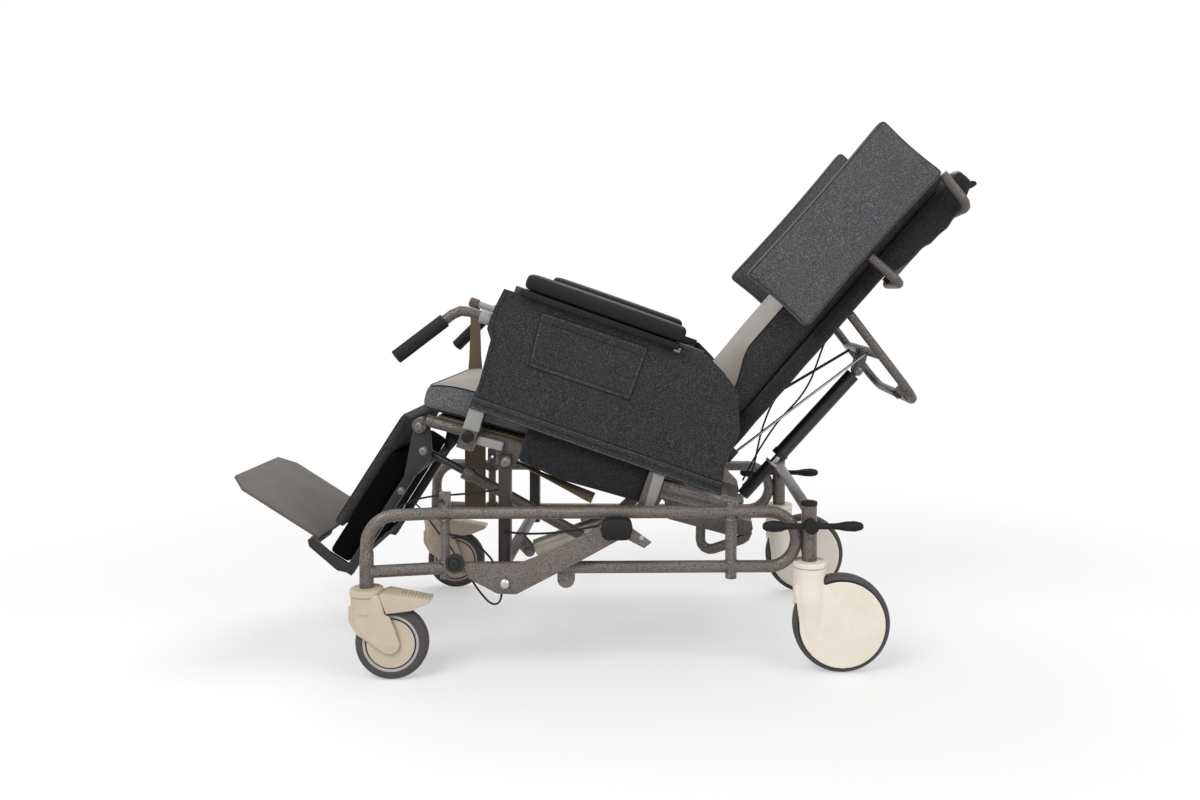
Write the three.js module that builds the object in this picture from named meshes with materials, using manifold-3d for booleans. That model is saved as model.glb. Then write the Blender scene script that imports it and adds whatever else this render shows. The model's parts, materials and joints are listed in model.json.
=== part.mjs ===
// Tilt in space wheelchair. Millimetres, +Z up, the chair faces -X.
// The origin is on the floor under the middle of the chair.
// The occupant's left side is at -Y. "side" is -1 on the left and 1 on the right.

import * as THREE from 'three';
import { mergeVertices } from 'three/addons/utils/BufferGeometryUtils.js';
import Module from 'manifold-3d';

const wasm = await Module();
wasm.setup();

const LEFT = -1;
const RIGHT = 1;
const radians = THREE.MathUtils.degToRad;

// How far the measured chair is moved so that the origin is under its middle
const centreShift = 28;

// Clearances and shared stock sizes
const seatGap = 0.3;
const cutOverrun = 2;
const weldDepth = 2;
const frameTubeRadius = 12.7;
const plateThickness = 6;
const pivotPinRadius = 6;
const pivotHeadRadius = 9;
const pivotHeadThickness = 5;

// Widths across the chair. Each part stands off the one beside it.
const seatRailHalfWidth = 218;
const armOutset = 30.5;
const armHalfWidth = seatRailHalfWidth + armOutset;
const stubInset = 22.5;
const stubHalfWidth = armHalfWidth - stubInset;
const uprightOutset = 31;
const uprightHalfTrack = seatRailHalfWidth + uprightOutset;
const sideFrameOutset = 28;
const railHalfWidthRear = uprightHalfTrack + sideFrameOutset;
const rearPostOutset = 3;
const rearPostHalfTrack = railHalfWidthRear + rearPostOutset;
const sideFrameFlare = 13;
const railHalfWidthFront = railHalfWidthRear + sideFrameFlare;
const frontCasterOutset = 32;
const casterHalfTrackFront = railHalfWidthFront + frontCasterOutset;
const cushionOverhang = 9;
const cushionHalfWidth = seatRailHalfWidth + cushionOverhang;
const backTubeInset = 13;
const backTubeHalfWidth = seatRailHalfWidth - backTubeInset;
const backCushionOverhang = 5;
const backCushionHalfWidth = backTubeHalfWidth + backCushionOverhang;
const headPadOutset = 50;
const headPadHalfWidth = backTubeHalfWidth + headPadOutset;
const headHookRun = 80;
const headHookInset = backTubeHalfWidth - headHookRun;
const pushBarInset = 5;
const pushBarHalfWidth = backTubeHalfWidth - pushBarInset;
const legRailInset = 36;
const legRailHalfWidth = seatRailHalfWidth - legRailInset;
const calfPadOverhang = 3;
const calfHalfWidth = legRailHalfWidth + calfPadOverhang;
const footPlateInset = 17;
const footPlateHalfWidth = legRailHalfWidth - footPlateInset;
const strutInset = 37;
const strutHalfWidth = seatRailHalfWidth - strutInset;

// Base frame
const upperRailHeight = 331.5;
const lowerRailHeight = 217.5;
const frontStemX = -488;
const frontPostX = -334;
const crossingPostX = 262;
const rearBendX = 398.5;
const rearPostX = 426;
const frontBendRadius = 57;
const flareBendRadius = 90;
const stemHousingRadius = 14.3;
const stemHousingLow = 187;
const stemHousingHigh = 262;
const frontPostRadius = 10;
const frontPostLow = 196;
const frontPostHigh = 354;
const postTabWidth = 22.7;
const postTabHigh = 376;
const postTabHoleRadius = 4;
const crossingPostRadius = 12;
const crossingPostLow = 193.5;
const crossingPostHigh = 352.5;
const rearPostRadius = 16;
const rearPostLow = 231;
const rearPostHigh = 352;
const stopLugX = -82;
const stopLugWidth = 36;
const stopLugDrop = 42;

// Uprights and cross tubes
const uprightWidth = 25.4;
const uprightTopRise = 15;
const uprightLow = 191;
const outriggerRadius = 9;

// Tilt pivot, at the tops of the uprights
const tiltPivotX = -215;
const tiltPivotHeight = 430.8;
const seatTilt = 15.2;

// Rear casters
const rearWheelRadius = 101.6;
const rearTreadWidth = 32;
const rearTrail = 66;
const rearHousingRadius = 34.5;
const rearHousingLow = 150;
const rearHousingShoulder = 222;
const rearHousingTopRadius = 29;
const rearCheekRadius = 89;
const rearCheekThickness = 5;
const rearCheekGap = 2;
const rearAxleRadius = 6;
const wheelRunningGap = 3;

// Front casters
const frontWheelRadius = 75;
const frontTreadWidth = 28;
const frontTrail = 53;
const frontHousingRadius = 32;
const frontHousingLow = 138;
const frontLegThickness = 5;
const frontLegGap = 2;
const frontAxleBossRadius = 20;
const frontAxleRadius = 5;
const frontHubRadius = 52;
const brakePedalReach = 134;
const brakePedalWidth = 36;
const brakePedalTop = 178;
const brakePocketGap = 11;

// Rear caster locks
const lockShaftHeight = 308;
const lockShaftRadius = 6;
const lockShaftStub = 5;
const lockPedalReachFront = 92;
const lockPedalReachRear = 99;
const lockPedalThickness = 24;
const lockPedalHubRadius = 15;
const lockPedalEndRadius = 9;

// Tilt release foot lever, left side
const footLeverPivotX = -311.7;
const footLeverPivotHeight = 227.1;
const footLeverLength = 400;
const footLeverThickness = 5;
const footLeverBossRadius = 20;
const footLeverCapThickness = 6;
const footLeverBoltReach = 103.5;
const footLeverBoltDrop = 39.5;
const footLeverBoltRadius = 13;
const footLeverBoltThickness = 6;
const footLeverOffset = 2.2;
const footPadReach = 337;
const footPadRise = 81;
const footPadLength = 66;
const footPadHeight = 46;
const footPadWidth = 36;

// Tilt cylinder
const tiltCylinderRadius = 20;
const tiltRodRadius = 9;
const tiltCylinderY = -40;
const tiltLowPinX = -190;
const tiltLowPinHeight = 190;
const tiltHighPinX = 333;
const tiltHighPinRise = -48;
const tiltHangerX = 350;
const tiltHangerRise = 12;
const tiltBodyStart = 15;
const tiltBodyLength = 180;
const tiltRodInner = 105;
const cylinderBoreFloor = 7;
const cylinderEyeRadius = 11;
const cylinderEyeThickness = 12;
const rodTongueLength = 18;

// Seat frame
const seatRailRise = 36;
const seatRailFront = -190;
const seatCrossRear = 503;
const seatRailStop = 3;
const seatRailRear = seatCrossRear - seatRailStop;
const sidePlateLap = 42;
const sidePlateRear = seatCrossRear + sidePlateLap;
const reclineLowPinOffset = 26;
const reclineLowPinX = seatCrossRear + reclineLowPinOffset;
const kneePivotX = -203;
const kneePivotRise = 20.9;
const kneeLugRadius = 16;
const pivotBossRadius = 18;
const pivotBracketHalf = 36;
const seatCrossFront = -120;
const sidePlateFront = 290;
const sidePlateDrop = -35;
const reclinePivotX = 422.8;
const reclinePivotRise = 66.4;
const reclineLowPinRise = 7;
const seatCrossRearRise = -14;
const loopRadius = 11;
const loopFrontOffset = 85;
const loopFootOffset = 105;
const loopFootRise = -91;
const loopRearRise = -26.9;
const hangerWidth = 24;

// Seat upholstery
const deckThickness = 3;
const deckFront = -170;
const deckRear = 380;
const cushionFront = -215;
const cushionRear = 330;
const cushionThickness = 72;
const cushionCrown = 8;
const sideRollFront = 40;
const sideRollRear = 285;
const sideRollLow = 1;
const sideRollHeight = 78;
const sideRollThickness = 16;

// Armrests. The arm frame runs a little steeper than the seat rails.
const armPitch = 4.1;
const armPostWidth = 20;
const armPostThickness = 10;
const armPostFoot = 5;
const armPostFrontX = -91;
const armPostRearX = 312;
const armChannelLow = 345;
const armChannelHeight = 16;
const armSocketHeight = 88;
const armSocketThickness = 7;
const armPadLength = 354;
const armPadWidth = 76;
const armPadThickness = 35;
const armPadFront = -82;
const armKnobRadius = 12;
const armKnobThickness = 14;
const armKnobRise = 27.5;
const armLift = 50;
const sidePanelLength = 400;
const sidePanelThickness = 12;
const sidePanelBevel = 3;
const pocketThickness = 3;

// Front handles
const handleTubeRadius = 11;
const handleSleeveRadius = 15;
const handleSleeveX = -152;
const handleSleeveLength = 23;
const handleRise = 276;
const handleBendX = -198;
const handleEndX = -284;
const handleEndRise = 141;
const handleBendRadius = 38;
const handleFlare = 26;
const gripRadius = 15.2;
const gripLength = 122;
const gripWall = 5;
const rightHandleEndX = -268;
const stubTubeRadius = 9;
const stubEndX = -268;
const stubRise = 262;

// Hanging strap
const strapWidth = 54;
const strapThickness = 3;
const strapTopWidth = 22;
const strapLength = 560;
const strapLoopWall = 3;

// Back
const backAngle = 26.1;
const backTubeX = -15;
const backTubeTop = 872;
const backTubeFoot = 20;
const backLugRadius = 15;
const backTopBendRadius = 60;
const backPanThickness = 4;
const backPanLow = 40;
const backPanHigh = 860;
const backCushionLow = 56;
const backCushionHigh = 845;
const backCushionThickness = 90;
const backCushionCrown = 10;

// Side head pads
const headPadLow = 388;
const headPadHigh = 828;
const headPadFront = -231;
const headPadRear = -58;
const headPadThickness = 44;
const headPadCrown = 3;
const headHookRadius = 10.5;
const headHookReach = 30;
const headHookHigh = 810;
const headHookLow = 592;
const headHookBend = 22;
const headHookDrop = 30;
const headHookGap = 0.4;

// Push bar
const pushBarRadius = 10;
const pushBarRootRise = 478;
const pushRootGap = 2.4;
const pushBarEndX = 234;
const pushBarEndRise = 431;
const pushBarBendRadius = 45;
const pushBarMidX = 108;
const pushBarMidRise = 455;

// Recline cylinder, release lever and cable
const reclineHighPinX = 130;
const reclineHighPinRise = 410;
const reclineBodyRadius = 17;
const reclineRodRadius = 8;
const reclineBodyStart = 14;
const reclineBodyLength = 262;
const reclineRodOverlap = 120;
const clevisThickness = 4;
const clevisSideGap = 0.5;
const clevisWidth = 26;
const releaseLeverLength = 96;
const releaseLeverInset = 50;
const releaseLeverY = releaseLeverInset - pushBarHalfWidth;

// Legrest
const legAngle = 17.3;
const legPlateThickness = 13;
const legRailWidth = 20;
const legRailX = 38;
const legRailTop = -75;
const legPlateLap = 35;
const footArmThickness = 8;
const legRailBottom = -362;
const legStrutPinX = 34;
const legStrutPinDrop = -47;
const calfPadTop = -4;
const calfPadBottom = -292;
const calfPadFront = -50;
const calfPadThickness = 26;
const calfBaseTop = -86;
const calfBaseBottom = -347;
const calfBaseRear = 25;
const footHingeX = -66;
const footHingeDrop = -352;
const footHingeRadius = 6;
const footPlateFront = -300;
const footPlateTop = -338;
const footPlateThickness = 6;
const footPlateCorner = 40;

// Leg strut
const strutRearX = 211;
const strutRearRise = -129;
const strutTubeRadius = 12;
const strutRodRadius = 8;
const strutTubeStart = 14;
const strutTubeLength = 295;
const strutRodOverlap = 110;
const strutKnobRadius = 16;
const strutKnobLength = 24;

// Facet counts
const tubeSides = 10;
const wheelSides = 24;
const discSides = 16;
const bendSteps = 3;

// Finishes
const finish = (color, roughness, metalness) => new THREE.MeshStandardMaterial({ color, roughness, metalness });
const finishes = {
  framePaint: finish('#5d5753', 0.45, 0.6),
  bracketGrey: finish('#8f9091', 0.5, 0.4),
  blackSteel: finish('#1d1d1f', 0.45, 0.3),
  blackRubber: finish('#1b1b1c', 0.8, 0),
  blackVinyl: finish('#151516', 0.55, 0),
  charcoalCloth: finish('#3a3b3d', 0.95, 0),
  oliveWebbing: finish('#5a5340', 0.9, 0),
  ivoryPlastic: finish('#dcdacb', 0.5, 0),
  beigePlastic: finish('#cfc7b8', 0.5, 0),
  greyTread: finish('#6f7072', 0.8, 0),
  hubGrey: finish('#8b8a86', 0.5, 0),
  silver: finish('#c9c5bc', 0.25, 1),
  chrome: finish('#d9d9d9', 0.1, 1),
  footplateGrey: finish('#6b645e', 0.7, 0),
};

// Solids and their joins

/** Drops what is only shading and turns a closed surface's faces outwards. */
function closedSurface(geometry) {
  const bare = geometry.clone();
  for (const name of Object.keys(bare.attributes)) {
    if (name !== 'position') bare.deleteAttribute(name);
  }
  const merged = mergeVertices(bare, 1e-3);
  const corner = [new THREE.Vector3(), new THREE.Vector3(), new THREE.Vector3()];
  const kept = [];
  let volume = 0;
  for (let start = 0; start < merged.index.count; start += 3) {
    const triangle = [0, 1, 2].map((offset) => merged.index.getX(start + offset));
    if (new Set(triangle).size < triangle.length) continue;
    triangle.forEach((vertex, which) => corner[which].fromBufferAttribute(merged.attributes.position, vertex));
    volume += corner[0].dot(corner[1].clone().cross(corner[2]));
    kept.push(triangle);
  }
  merged.setIndex((volume < 0 ? kept.map(([a, b, c]) => [a, c, b]) : kept).flat());
  return merged;
}

function solidOf(geometry) {
  const surface = closedSurface(geometry);
  return new wasm.Manifold(new wasm.Mesh({
    numProp: 3,
    vertProperties: Float32Array.from(surface.attributes.position.array),
    triVerts: Uint32Array.from(surface.index.array),
  }));
}

function geometryOf(solid) {
  const mesh = solid.getMesh();
  const geometry = new THREE.BufferGeometry();
  geometry.setAttribute('position', new THREE.BufferAttribute(Float32Array.from(mesh.vertProperties), mesh.numProp));
  geometry.setIndex(Array.from(mesh.triVerts));
  return geometry;
}

/** Welds overlapping pieces into one solid. */
function weld(...pieces) {
  return geometryOf(pieces.map(solidOf).reduce((whole, piece) => whole.add(piece)));
}

/** Cuts every tool out of a piece. */
function cut(piece, ...tools) {
  return geometryOf(tools.map(solidOf).reduce((whole, tool) => whole.subtract(tool), solidOf(piece)));
}

// Shapes

function polygon(radius, sides, turn = 0) {
  return Array.from({ length: sides }, (_, index) => {
    const angle = turn + (2 * Math.PI * index) / sides;
    return new THREE.Vector2(radius * Math.cos(angle), radius * Math.sin(angle));
  });
}

/** Corner radius of a faceted bore that clears a round piece all round. */
function boreRadius(pieceRadius, sides, clearance = seatGap) {
  return (pieceRadius + clearance) / Math.cos(Math.PI / sides);
}

function box(sizeX, sizeY, sizeZ, x, y, z) {
  return new THREE.BoxGeometry(sizeX, sizeY, sizeZ).translate(x, y, z);
}

/** A box given by its lowest and highest corners. */
function block([lowX, lowY, lowZ], [highX, highY, highZ]) {
  return box(
    highX - lowX, highY - lowY, highZ - lowZ,
    (lowX + highX) / 2, (lowY + highY) / 2, (lowZ + highZ) / 2,
  );
}

/** A straight round bar between two points. */
function bar(start, end, radius, sides = tubeSides, endRadius = radius) {
  const from = new THREE.Vector3(...start);
  const along = new THREE.Vector3(...end).sub(from);
  const length = along.length();
  const turn = new THREE.Quaternion().setFromUnitVectors(new THREE.Vector3(0, 1, 0), along.normalize());
  return new THREE.CylinderGeometry(endRadius, radius, length, sides)
    .rotateY(Math.PI / sides)
    .translate(0, length / 2, 0)
    .applyQuaternion(turn)
    .translate(from.x, from.y, from.z);
}

/** A flat plate that lies in the XZ plane, between two places along Y. */
function plate(outline, nearY, farY, bevel = 0) {
  const low = Math.min(nearY, farY);
  const thickness = Math.abs(farY - nearY);
  const geometry = new THREE.ExtrudeGeometry(new THREE.Shape(outline), {
    depth: thickness - 2 * bevel,
    bevelEnabled: bevel > 0,
    bevelThickness: bevel,
    bevelSize: bevel,
    bevelOffset: -bevel,
    bevelSegments: 2,
    curveSegments: discSides,
  });
  return geometry.rotateX(Math.PI / 2).translate(0, low + thickness - bevel, 0);
}

function disc(x, z, radius, nearY, farY, sides = discSides) {
  return plate(polygon(radius, sides, Math.PI / sides).map((point) => point.add(new THREE.Vector2(x, z))), nearY, farY);
}

const outlineOf = (pairs) => pairs.map(([x, z]) => new THREE.Vector2(x, z));

/** A path through chosen stations, one section at each. */
class StationPath extends THREE.Curve {
  constructor(stations) {
    super();
    this.stations = stations;
  }

  getPoint(share, target = new THREE.Vector3()) {
    const place = share * (this.stations.length - 1);
    const index = Math.min(Math.floor(place), this.stations.length - 2);
    return target.lerpVectors(this.stations[index], this.stations[index + 1], place - index);
  }

  getPointAt(share, target) {
    return this.getPoint(share, target);
  }

  getTangentAt(share, target = new THREE.Vector3()) {
    const last = this.stations.length - 1;
    const index = Math.round(share * last);
    const into = this.stations[index].clone().sub(this.stations[Math.max(index - 1, 0)]).normalize();
    const outOf = this.stations[Math.min(index + 1, last)].clone().sub(this.stations[index]).normalize();
    return target.copy(into).add(outOf).normalize();
  }
}

/** Stations of a path with its corners rounded to a bend radius. */
function bentStations(corners, bendRadii) {
  const points = corners.map((corner) => new THREE.Vector3(...corner));
  const stations = [points[0]];
  for (let index = 1; index < points.length - 1; index += 1) {
    const into = points[index].clone().sub(points[index - 1]).normalize();
    const outOf = points[index + 1].clone().sub(points[index]).normalize();
    const turn = into.angleTo(outOf);
    const radius = Array.isArray(bendRadii) ? bendRadii[index - 1] : bendRadii;
    const reach = radius * Math.tan(turn / 2);
    const centre = points[index].clone()
      .add(outOf.clone().sub(into).normalize().multiplyScalar(radius / Math.cos(turn / 2)));
    const start = points[index].clone().addScaledVector(into, -reach).sub(centre);
    const axis = into.clone().cross(outOf).normalize();
    const steps = Math.max(1, Math.round((bendSteps * turn) / (Math.PI / 2)));
    for (let step = 0; step <= steps; step += 1) {
      stations.push(start.clone().applyAxisAngle(axis, (turn * step) / steps).add(centre));
    }
  }
  stations.push(points[points.length - 1]);
  return stations.filter((point, index) => index === 0 || point.distanceTo(stations[index - 1]) > seatGap);
}

/** A round bar bent along a path. */
function tube(corners, radius, bendRadii, sides = tubeSides) {
  const stations = bentStations(corners, bendRadii);
  return new THREE.ExtrudeGeometry(new THREE.Shape(polygon(radius, sides)), {
    extrudePath: new StationPath(stations),
    steps: stations.length - 1,
  });
}

/** A closed solid of revolution about Y, from pairs of radius and place along the axle. */
function turned(profile, sides, x, y, z) {
  const points = [...profile, profile[0]].map(([radius, along]) => new THREE.Vector2(radius, along));
  return new THREE.LatheGeometry(points, sides).rotateY(Math.PI / sides).translate(x, y, z);
}

/** A closed solid through rings of points, each ring with as many points. */
function loft(rings) {
  const count = rings[0].length;
  const positions = rings.flat(2);
  const index = [];
  for (let ring = 0; ring < rings.length - 1; ring += 1) {
    for (let side = 0; side < count; side += 1) {
      const a = ring * count + side;
      const b = ring * count + ((side + 1) % count);
      index.push(a, b, b + count, a, b + count, a + count);
    }
  }
  const last = (rings.length - 1) * count;
  for (let side = 1; side < count - 1; side += 1) {
    index.push(0, side + 1, side, last, last + side, last + side + 1);
  }
  const geometry = new THREE.BufferGeometry();
  geometry.setAttribute('position', new THREE.Float32BufferAttribute(positions, 3));
  geometry.setIndex(index);
  return geometry;
}

/**
 * A stuffed pad centred on the origin: a crown above, rounded shoulders and sides that draw in
 * between the corners. Channels are sewn lines across its length.
 */
function pad({ length, width, thickness, crown = 0, drawIn = 0, shoulderShare = 0.5, flatBottom = true,
  columns = 12, rows = 8, channelShares = [], channelDepth = 0 }) {
  const spread = (index, count) => Math.sin((Math.PI / 2) * (-1 + (2 * index) / count));
  const halfThickness = thickness / 2;
  const bulge = Math.min(halfThickness * shoulderShare, drawIn + halfThickness / 4) / 2;
  const place = (a, b, height) => [
    a * (length / 2 - bulge - drawIn * (1 - b * b)),
    b * (width / 2 - bulge - drawIn * (1 - a * a)),
    height,
  ];
  const roundness = (a, b) => Math.sqrt(Math.max(0, (1 - a ** 6) * (1 - b ** 6)));
  const sewn = (a) => channelShares.reduce((sum, share) => sum + Math.exp(-(((a - share) / 0.05) ** 2)), 0);
  const positions = [];
  const index = [];
  const top = (i, j) => i * (rows + 1) + j;
  const bottom = (i, j) => (columns + 1) * (rows + 1) + top(i, j);
  for (const face of [1, -1]) {
    for (let i = 0; i <= columns; i += 1) {
      for (let j = 0; j <= rows; j += 1) {
        const a = spread(i, columns);
        const b = spread(j, rows);
        const swell = face > 0 ? crown * (1 - a * a) * (1 - b * b) - channelDepth * sewn(a) * roundness(a, b) : 0;
        const shoulder = face < 0 && flatBottom ? shoulderShare / 2 : shoulderShare;
        const height = halfThickness * (1 - shoulder + shoulder * roundness(a, b)) + swell;
        positions.push(...place(a, b, face * height));
      }
    }
  }
  for (let i = 0; i < columns; i += 1) {
    for (let j = 0; j < rows; j += 1) {
      index.push(top(i, j), top(i + 1, j), top(i + 1, j + 1), top(i, j), top(i + 1, j + 1), top(i, j + 1));
      index.push(bottom(i, j), bottom(i + 1, j + 1), bottom(i + 1, j), bottom(i, j), bottom(i, j + 1), bottom(i + 1, j + 1));
    }
  }
  const rim = [
    ...Array.from({ length: columns }, (_, i) => [i, 0]),
    ...Array.from({ length: rows }, (_, j) => [columns, j]),
    ...Array.from({ length: columns }, (_, i) => [columns - i, rows]),
    ...Array.from({ length: rows }, (_, j) => [0, rows - j]),
  ];
  const firstMiddle = positions.length / 3;
  rim.forEach(([i, j]) => positions.push(...place(spread(i, columns), spread(j, rows), 0)));
  rim.forEach(([i, j], here) => {
    const next = (here + 1) % rim.length;
    const [nextI, nextJ] = rim[next];
    const middle = firstMiddle + here;
    const nextMiddle = firstMiddle + next;
    index.push(middle, nextMiddle, top(nextI, nextJ), middle, top(nextI, nextJ), top(i, j));
    index.push(bottom(i, j), bottom(nextI, nextJ), nextMiddle, bottom(i, j), nextMiddle, middle);
  });
  rim.forEach(([i, j], here) => {
    const a = spread(i, columns);
    const b = spread(j, rows);
    const at = 3 * (firstMiddle + here);
    if (i === 0 || i === columns) positions[at] += Math.sign(a) * bulge * (1 - b ** 4);
    if (j === 0 || j === rows) positions[at + 1] += Math.sign(b) * bulge * (1 - a ** 4);
  });
  const geometry = new THREE.BufferGeometry();
  geometry.setAttribute('position', new THREE.Float32BufferAttribute(positions, 3));
  geometry.setIndex(index);
  return geometry;
}

// Groups that tilt together

const wheelchair = new THREE.Group();
wheelchair.position.x = centreShift;

function tiltedGroup(parent, x, z, angle) {
  const group = new THREE.Group();
  group.position.set(x, 0, z);
  group.rotation.y = radians(angle);
  parent.add(group);
  return group;
}

const seatGroup = tiltedGroup(wheelchair, tiltPivotX, tiltPivotHeight, seatTilt);
const armGroup = tiltedGroup(seatGroup, 0, 0, armPitch);
const backGroup = tiltedGroup(seatGroup, reclinePivotX, reclinePivotRise, backAngle);
const legGroup = tiltedGroup(seatGroup, kneePivotX, kneePivotRise, legAngle);

function addPiece(group, name, geometry, material) {
  const mesh = new THREE.Mesh(closedSurface(geometry), material);
  mesh.name = name;
  group.add(mesh);
  return mesh;
}

const sideName = (side) => (side === LEFT ? 'left' : 'right');

/** Turns a point given in one tilted group's frame into the frame of the group around it. */
function outward(x, z, originX, originZ, angle) {
  const turn = radians(angle);
  return [
    originX + x * Math.cos(turn) + z * Math.sin(turn),
    originZ - x * Math.sin(turn) + z * Math.cos(turn),
  ];
}

// Base frame

function railHalfWidthAt(x) {
  const share = (x - frontPostX) / (rearBendX - frontPostX);
  return railHalfWidthFront + share * (railHalfWidthRear - railHalfWidthFront);
}

const footLeverInnerY = railHalfWidthFront + frameTubeRadius + footLeverOffset;
const footLeverOuterY = footLeverInnerY + footLeverThickness;

function sideFrame(side) {
  const bayRadius = (upperRailHeight - lowerRailHeight) / 2;
  const loop = tube(
    [
      [frontStemX, side * casterHalfTrackFront, (upperRailHeight + lowerRailHeight) / 2 - frameTubeRadius],
      [frontStemX, side * casterHalfTrackFront, upperRailHeight],
      [frontPostX, side * railHalfWidthFront, upperRailHeight],
      [rearBendX, side * railHalfWidthRear, upperRailHeight],
      [rearBendX, side * railHalfWidthRear, lowerRailHeight],
      [frontPostX, side * railHalfWidthFront, lowerRailHeight],
      [frontStemX, side * casterHalfTrackFront, lowerRailHeight],
    ],
    frameTubeRadius,
    [frontBendRadius, flareBendRadius, bayRadius, bayRadius, flareBendRadius],
  );
  const post = (x, y, low, high, radius, sides = tubeSides) => bar([x, y, low], [x, y, high], radius, sides);
  const frontPostY = side * railHalfWidthFront;
  const tab = block(
    [frontPostX - postTabWidth / 2, frontPostY - plateThickness / 2, frontPostHigh - frontPostRadius],
    [frontPostX + postTabWidth / 2, frontPostY + plateThickness / 2, postTabHigh],
  );
  const lugY = side * railHalfWidthAt(stopLugX);
  const lugEnd = lowerRailHeight - stopLugDrop + stopLugWidth / 2;
  const lug = weld(
    block(
      [stopLugX - stopLugWidth / 2, lugY - plateThickness, lugEnd],
      [stopLugX + stopLugWidth / 2, lugY + plateThickness, lowerRailHeight],
    ),
    disc(stopLugX, lugEnd, stopLugWidth / 2, lugY - plateThickness, lugY + plateThickness),
  );
  const pieces = [
    loop,
    post(frontStemX, side * casterHalfTrackFront, stemHousingLow, stemHousingHigh, stemHousingRadius, discSides),
    post(frontPostX, frontPostY, frontPostLow, frontPostHigh, frontPostRadius),
    tab,
    post(crossingPostX, side * railHalfWidthAt(crossingPostX), crossingPostLow, crossingPostHigh, crossingPostRadius),
    post(rearPostX, side * rearPostHalfTrack, rearPostLow, rearPostHigh, rearPostRadius, discSides),
    lug,
  ];
  if (side === LEFT) {
    const pinStart = -railHalfWidthAt(footLeverPivotX);
    const capInner = -(footLeverOuterY + seatGap);
    pieces.push(bar(
      [footLeverPivotX, pinStart, footLeverPivotHeight],
      [footLeverPivotX, capInner - footLeverCapThickness, footLeverPivotHeight],
      pivotPinRadius,
    ));
    pieces.push(disc(footLeverPivotX, footLeverPivotHeight, footLeverBossRadius, capInner - footLeverCapThickness, capInner));
  }
  const shaftHole = boreRadius(lockShaftRadius, tubeSides);
  const reach = rearPostHalfTrack + rearPostRadius + cutOverrun;
  return cut(
    weld(...pieces),
    bar([frontPostX, frontPostY - postTabWidth, postTabHigh - postTabWidth],
      [frontPostX, frontPostY + postTabWidth, postTabHigh - postTabWidth], postTabHoleRadius),
    bar([rearPostX, side * (rearPostHalfTrack - rearPostRadius - cutOverrun), lockShaftHeight],
      [rearPostX, side * reach, lockShaftHeight], shaftHole),
  );
}

function upright(side) {
  const y = side * uprightHalfTrack;
  const post = block(
    [tiltPivotX - uprightWidth / 2, y - uprightWidth / 2, uprightLow],
    [tiltPivotX + uprightWidth / 2, y + uprightWidth / 2, tiltPivotHeight + uprightTopRise],
  );
  const railY = side * railHalfWidthAt(tiltPivotX);
  const outriggers = [upperRailHeight, lowerRailHeight].map((height) => bar([tiltPivotX, y, height], [tiltPivotX, railY, height], outriggerRadius));
  const rails = [upperRailHeight, lowerRailHeight].map((height) => bar(
    [frontPostX, side * railHalfWidthFront, height],
    [rearBendX, side * railHalfWidthRear, height],
    boreRadius(frameTubeRadius, tubeSides),
  ));
  const pinHole = bar(
    [tiltPivotX, y - uprightWidth, tiltPivotHeight],
    [tiltPivotX, y + uprightWidth, tiltPivotHeight],
    boreRadius(pivotPinRadius, tubeSides),
  );
  const whole = weld(post, ...outriggers);
  const past = side * (Math.abs(railY) + frameTubeRadius);
  const beyond = block(
    [tiltPivotX - uprightWidth, Math.min(past, railY), uprightLow],
    [tiltPivotX + uprightWidth, Math.max(past, railY), tiltPivotHeight],
  );
  return cut(whole, beyond, ...rails, pinHole);
}

for (const side of [LEFT, RIGHT]) {
  addPiece(wheelchair, `side_frame_${sideName(side)}`, sideFrame(side), finishes.framePaint);
  addPiece(wheelchair, `upright_${sideName(side)}`, upright(side), finishes.framePaint);
}

const baseCrossHalf = uprightHalfTrack - uprightWidth / 2 - seatGap;

function clevisPair(x, z, towardX, towardZ, centreY, width = clevisWidth) {
  const inner = cylinderEyeThickness / 2 + clevisSideGap;
  return [LEFT, RIGHT].map((hand) => {
    const near = centreY + hand * inner;
    const far = near + hand * clevisThickness;
    const along = new THREE.Vector2(towardX - x, towardZ - z).normalize();
    const across = new THREE.Vector2(-along.y, along.x).multiplyScalar(width / 2);
    const from = new THREE.Vector2(x, z);
    const to = new THREE.Vector2(towardX, towardZ);
    const strip = plate([
      from.clone().sub(across), to.clone().sub(across), to.clone().add(across), from.clone().add(across),
    ], near, far);
    const head = disc(x, z, pivotHeadRadius, near, far + hand * pivotHeadThickness, tubeSides);
    return weld(strip, disc(x, z, width / 2, near, far, discSides), head);
  });
}

/** A pin between the two plates of a clevis. */
function clevisPin(x, z, centreY) {
  const reach = cylinderEyeThickness / 2 + clevisSideGap + clevisThickness / 2;
  return bar([x, centreY - reach, z], [x, centreY + reach, z], pivotPinRadius);
}

const baseCross = weld(
  bar([tiltPivotX, -baseCrossHalf, lowerRailHeight], [tiltPivotX, baseCrossHalf, lowerRailHeight], frameTubeRadius),
  ...clevisPair(tiltLowPinX, tiltLowPinHeight, tiltPivotX, lowerRailHeight, tiltCylinderY),
  clevisPin(tiltLowPinX, tiltLowPinHeight, tiltCylinderY),
);
addPiece(wheelchair, 'base_cross_tube', baseCross, finishes.framePaint);

const rearCross = cut(
  bar([rearPostX, -rearPostHalfTrack, upperRailHeight], [rearPostX, rearPostHalfTrack, upperRailHeight],
    frameTubeRadius),
  ...[LEFT, RIGHT].map((side) => bar(
    [rearPostX, side * rearPostHalfTrack, rearPostLow],
    [rearPostX, side * rearPostHalfTrack, rearPostHigh + rearPostRadius],
    boreRadius(rearPostRadius, discSides),
    discSides,
  )),
);

/** Keeps the largest of the solids that a cut leaves. */
function largestPiece(geometry) {
  const pieces = solidOf(geometry).decompose();
  return geometryOf(pieces.reduce((best, piece) => (piece.volume() > best.volume() ? piece : best)));
}

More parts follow.
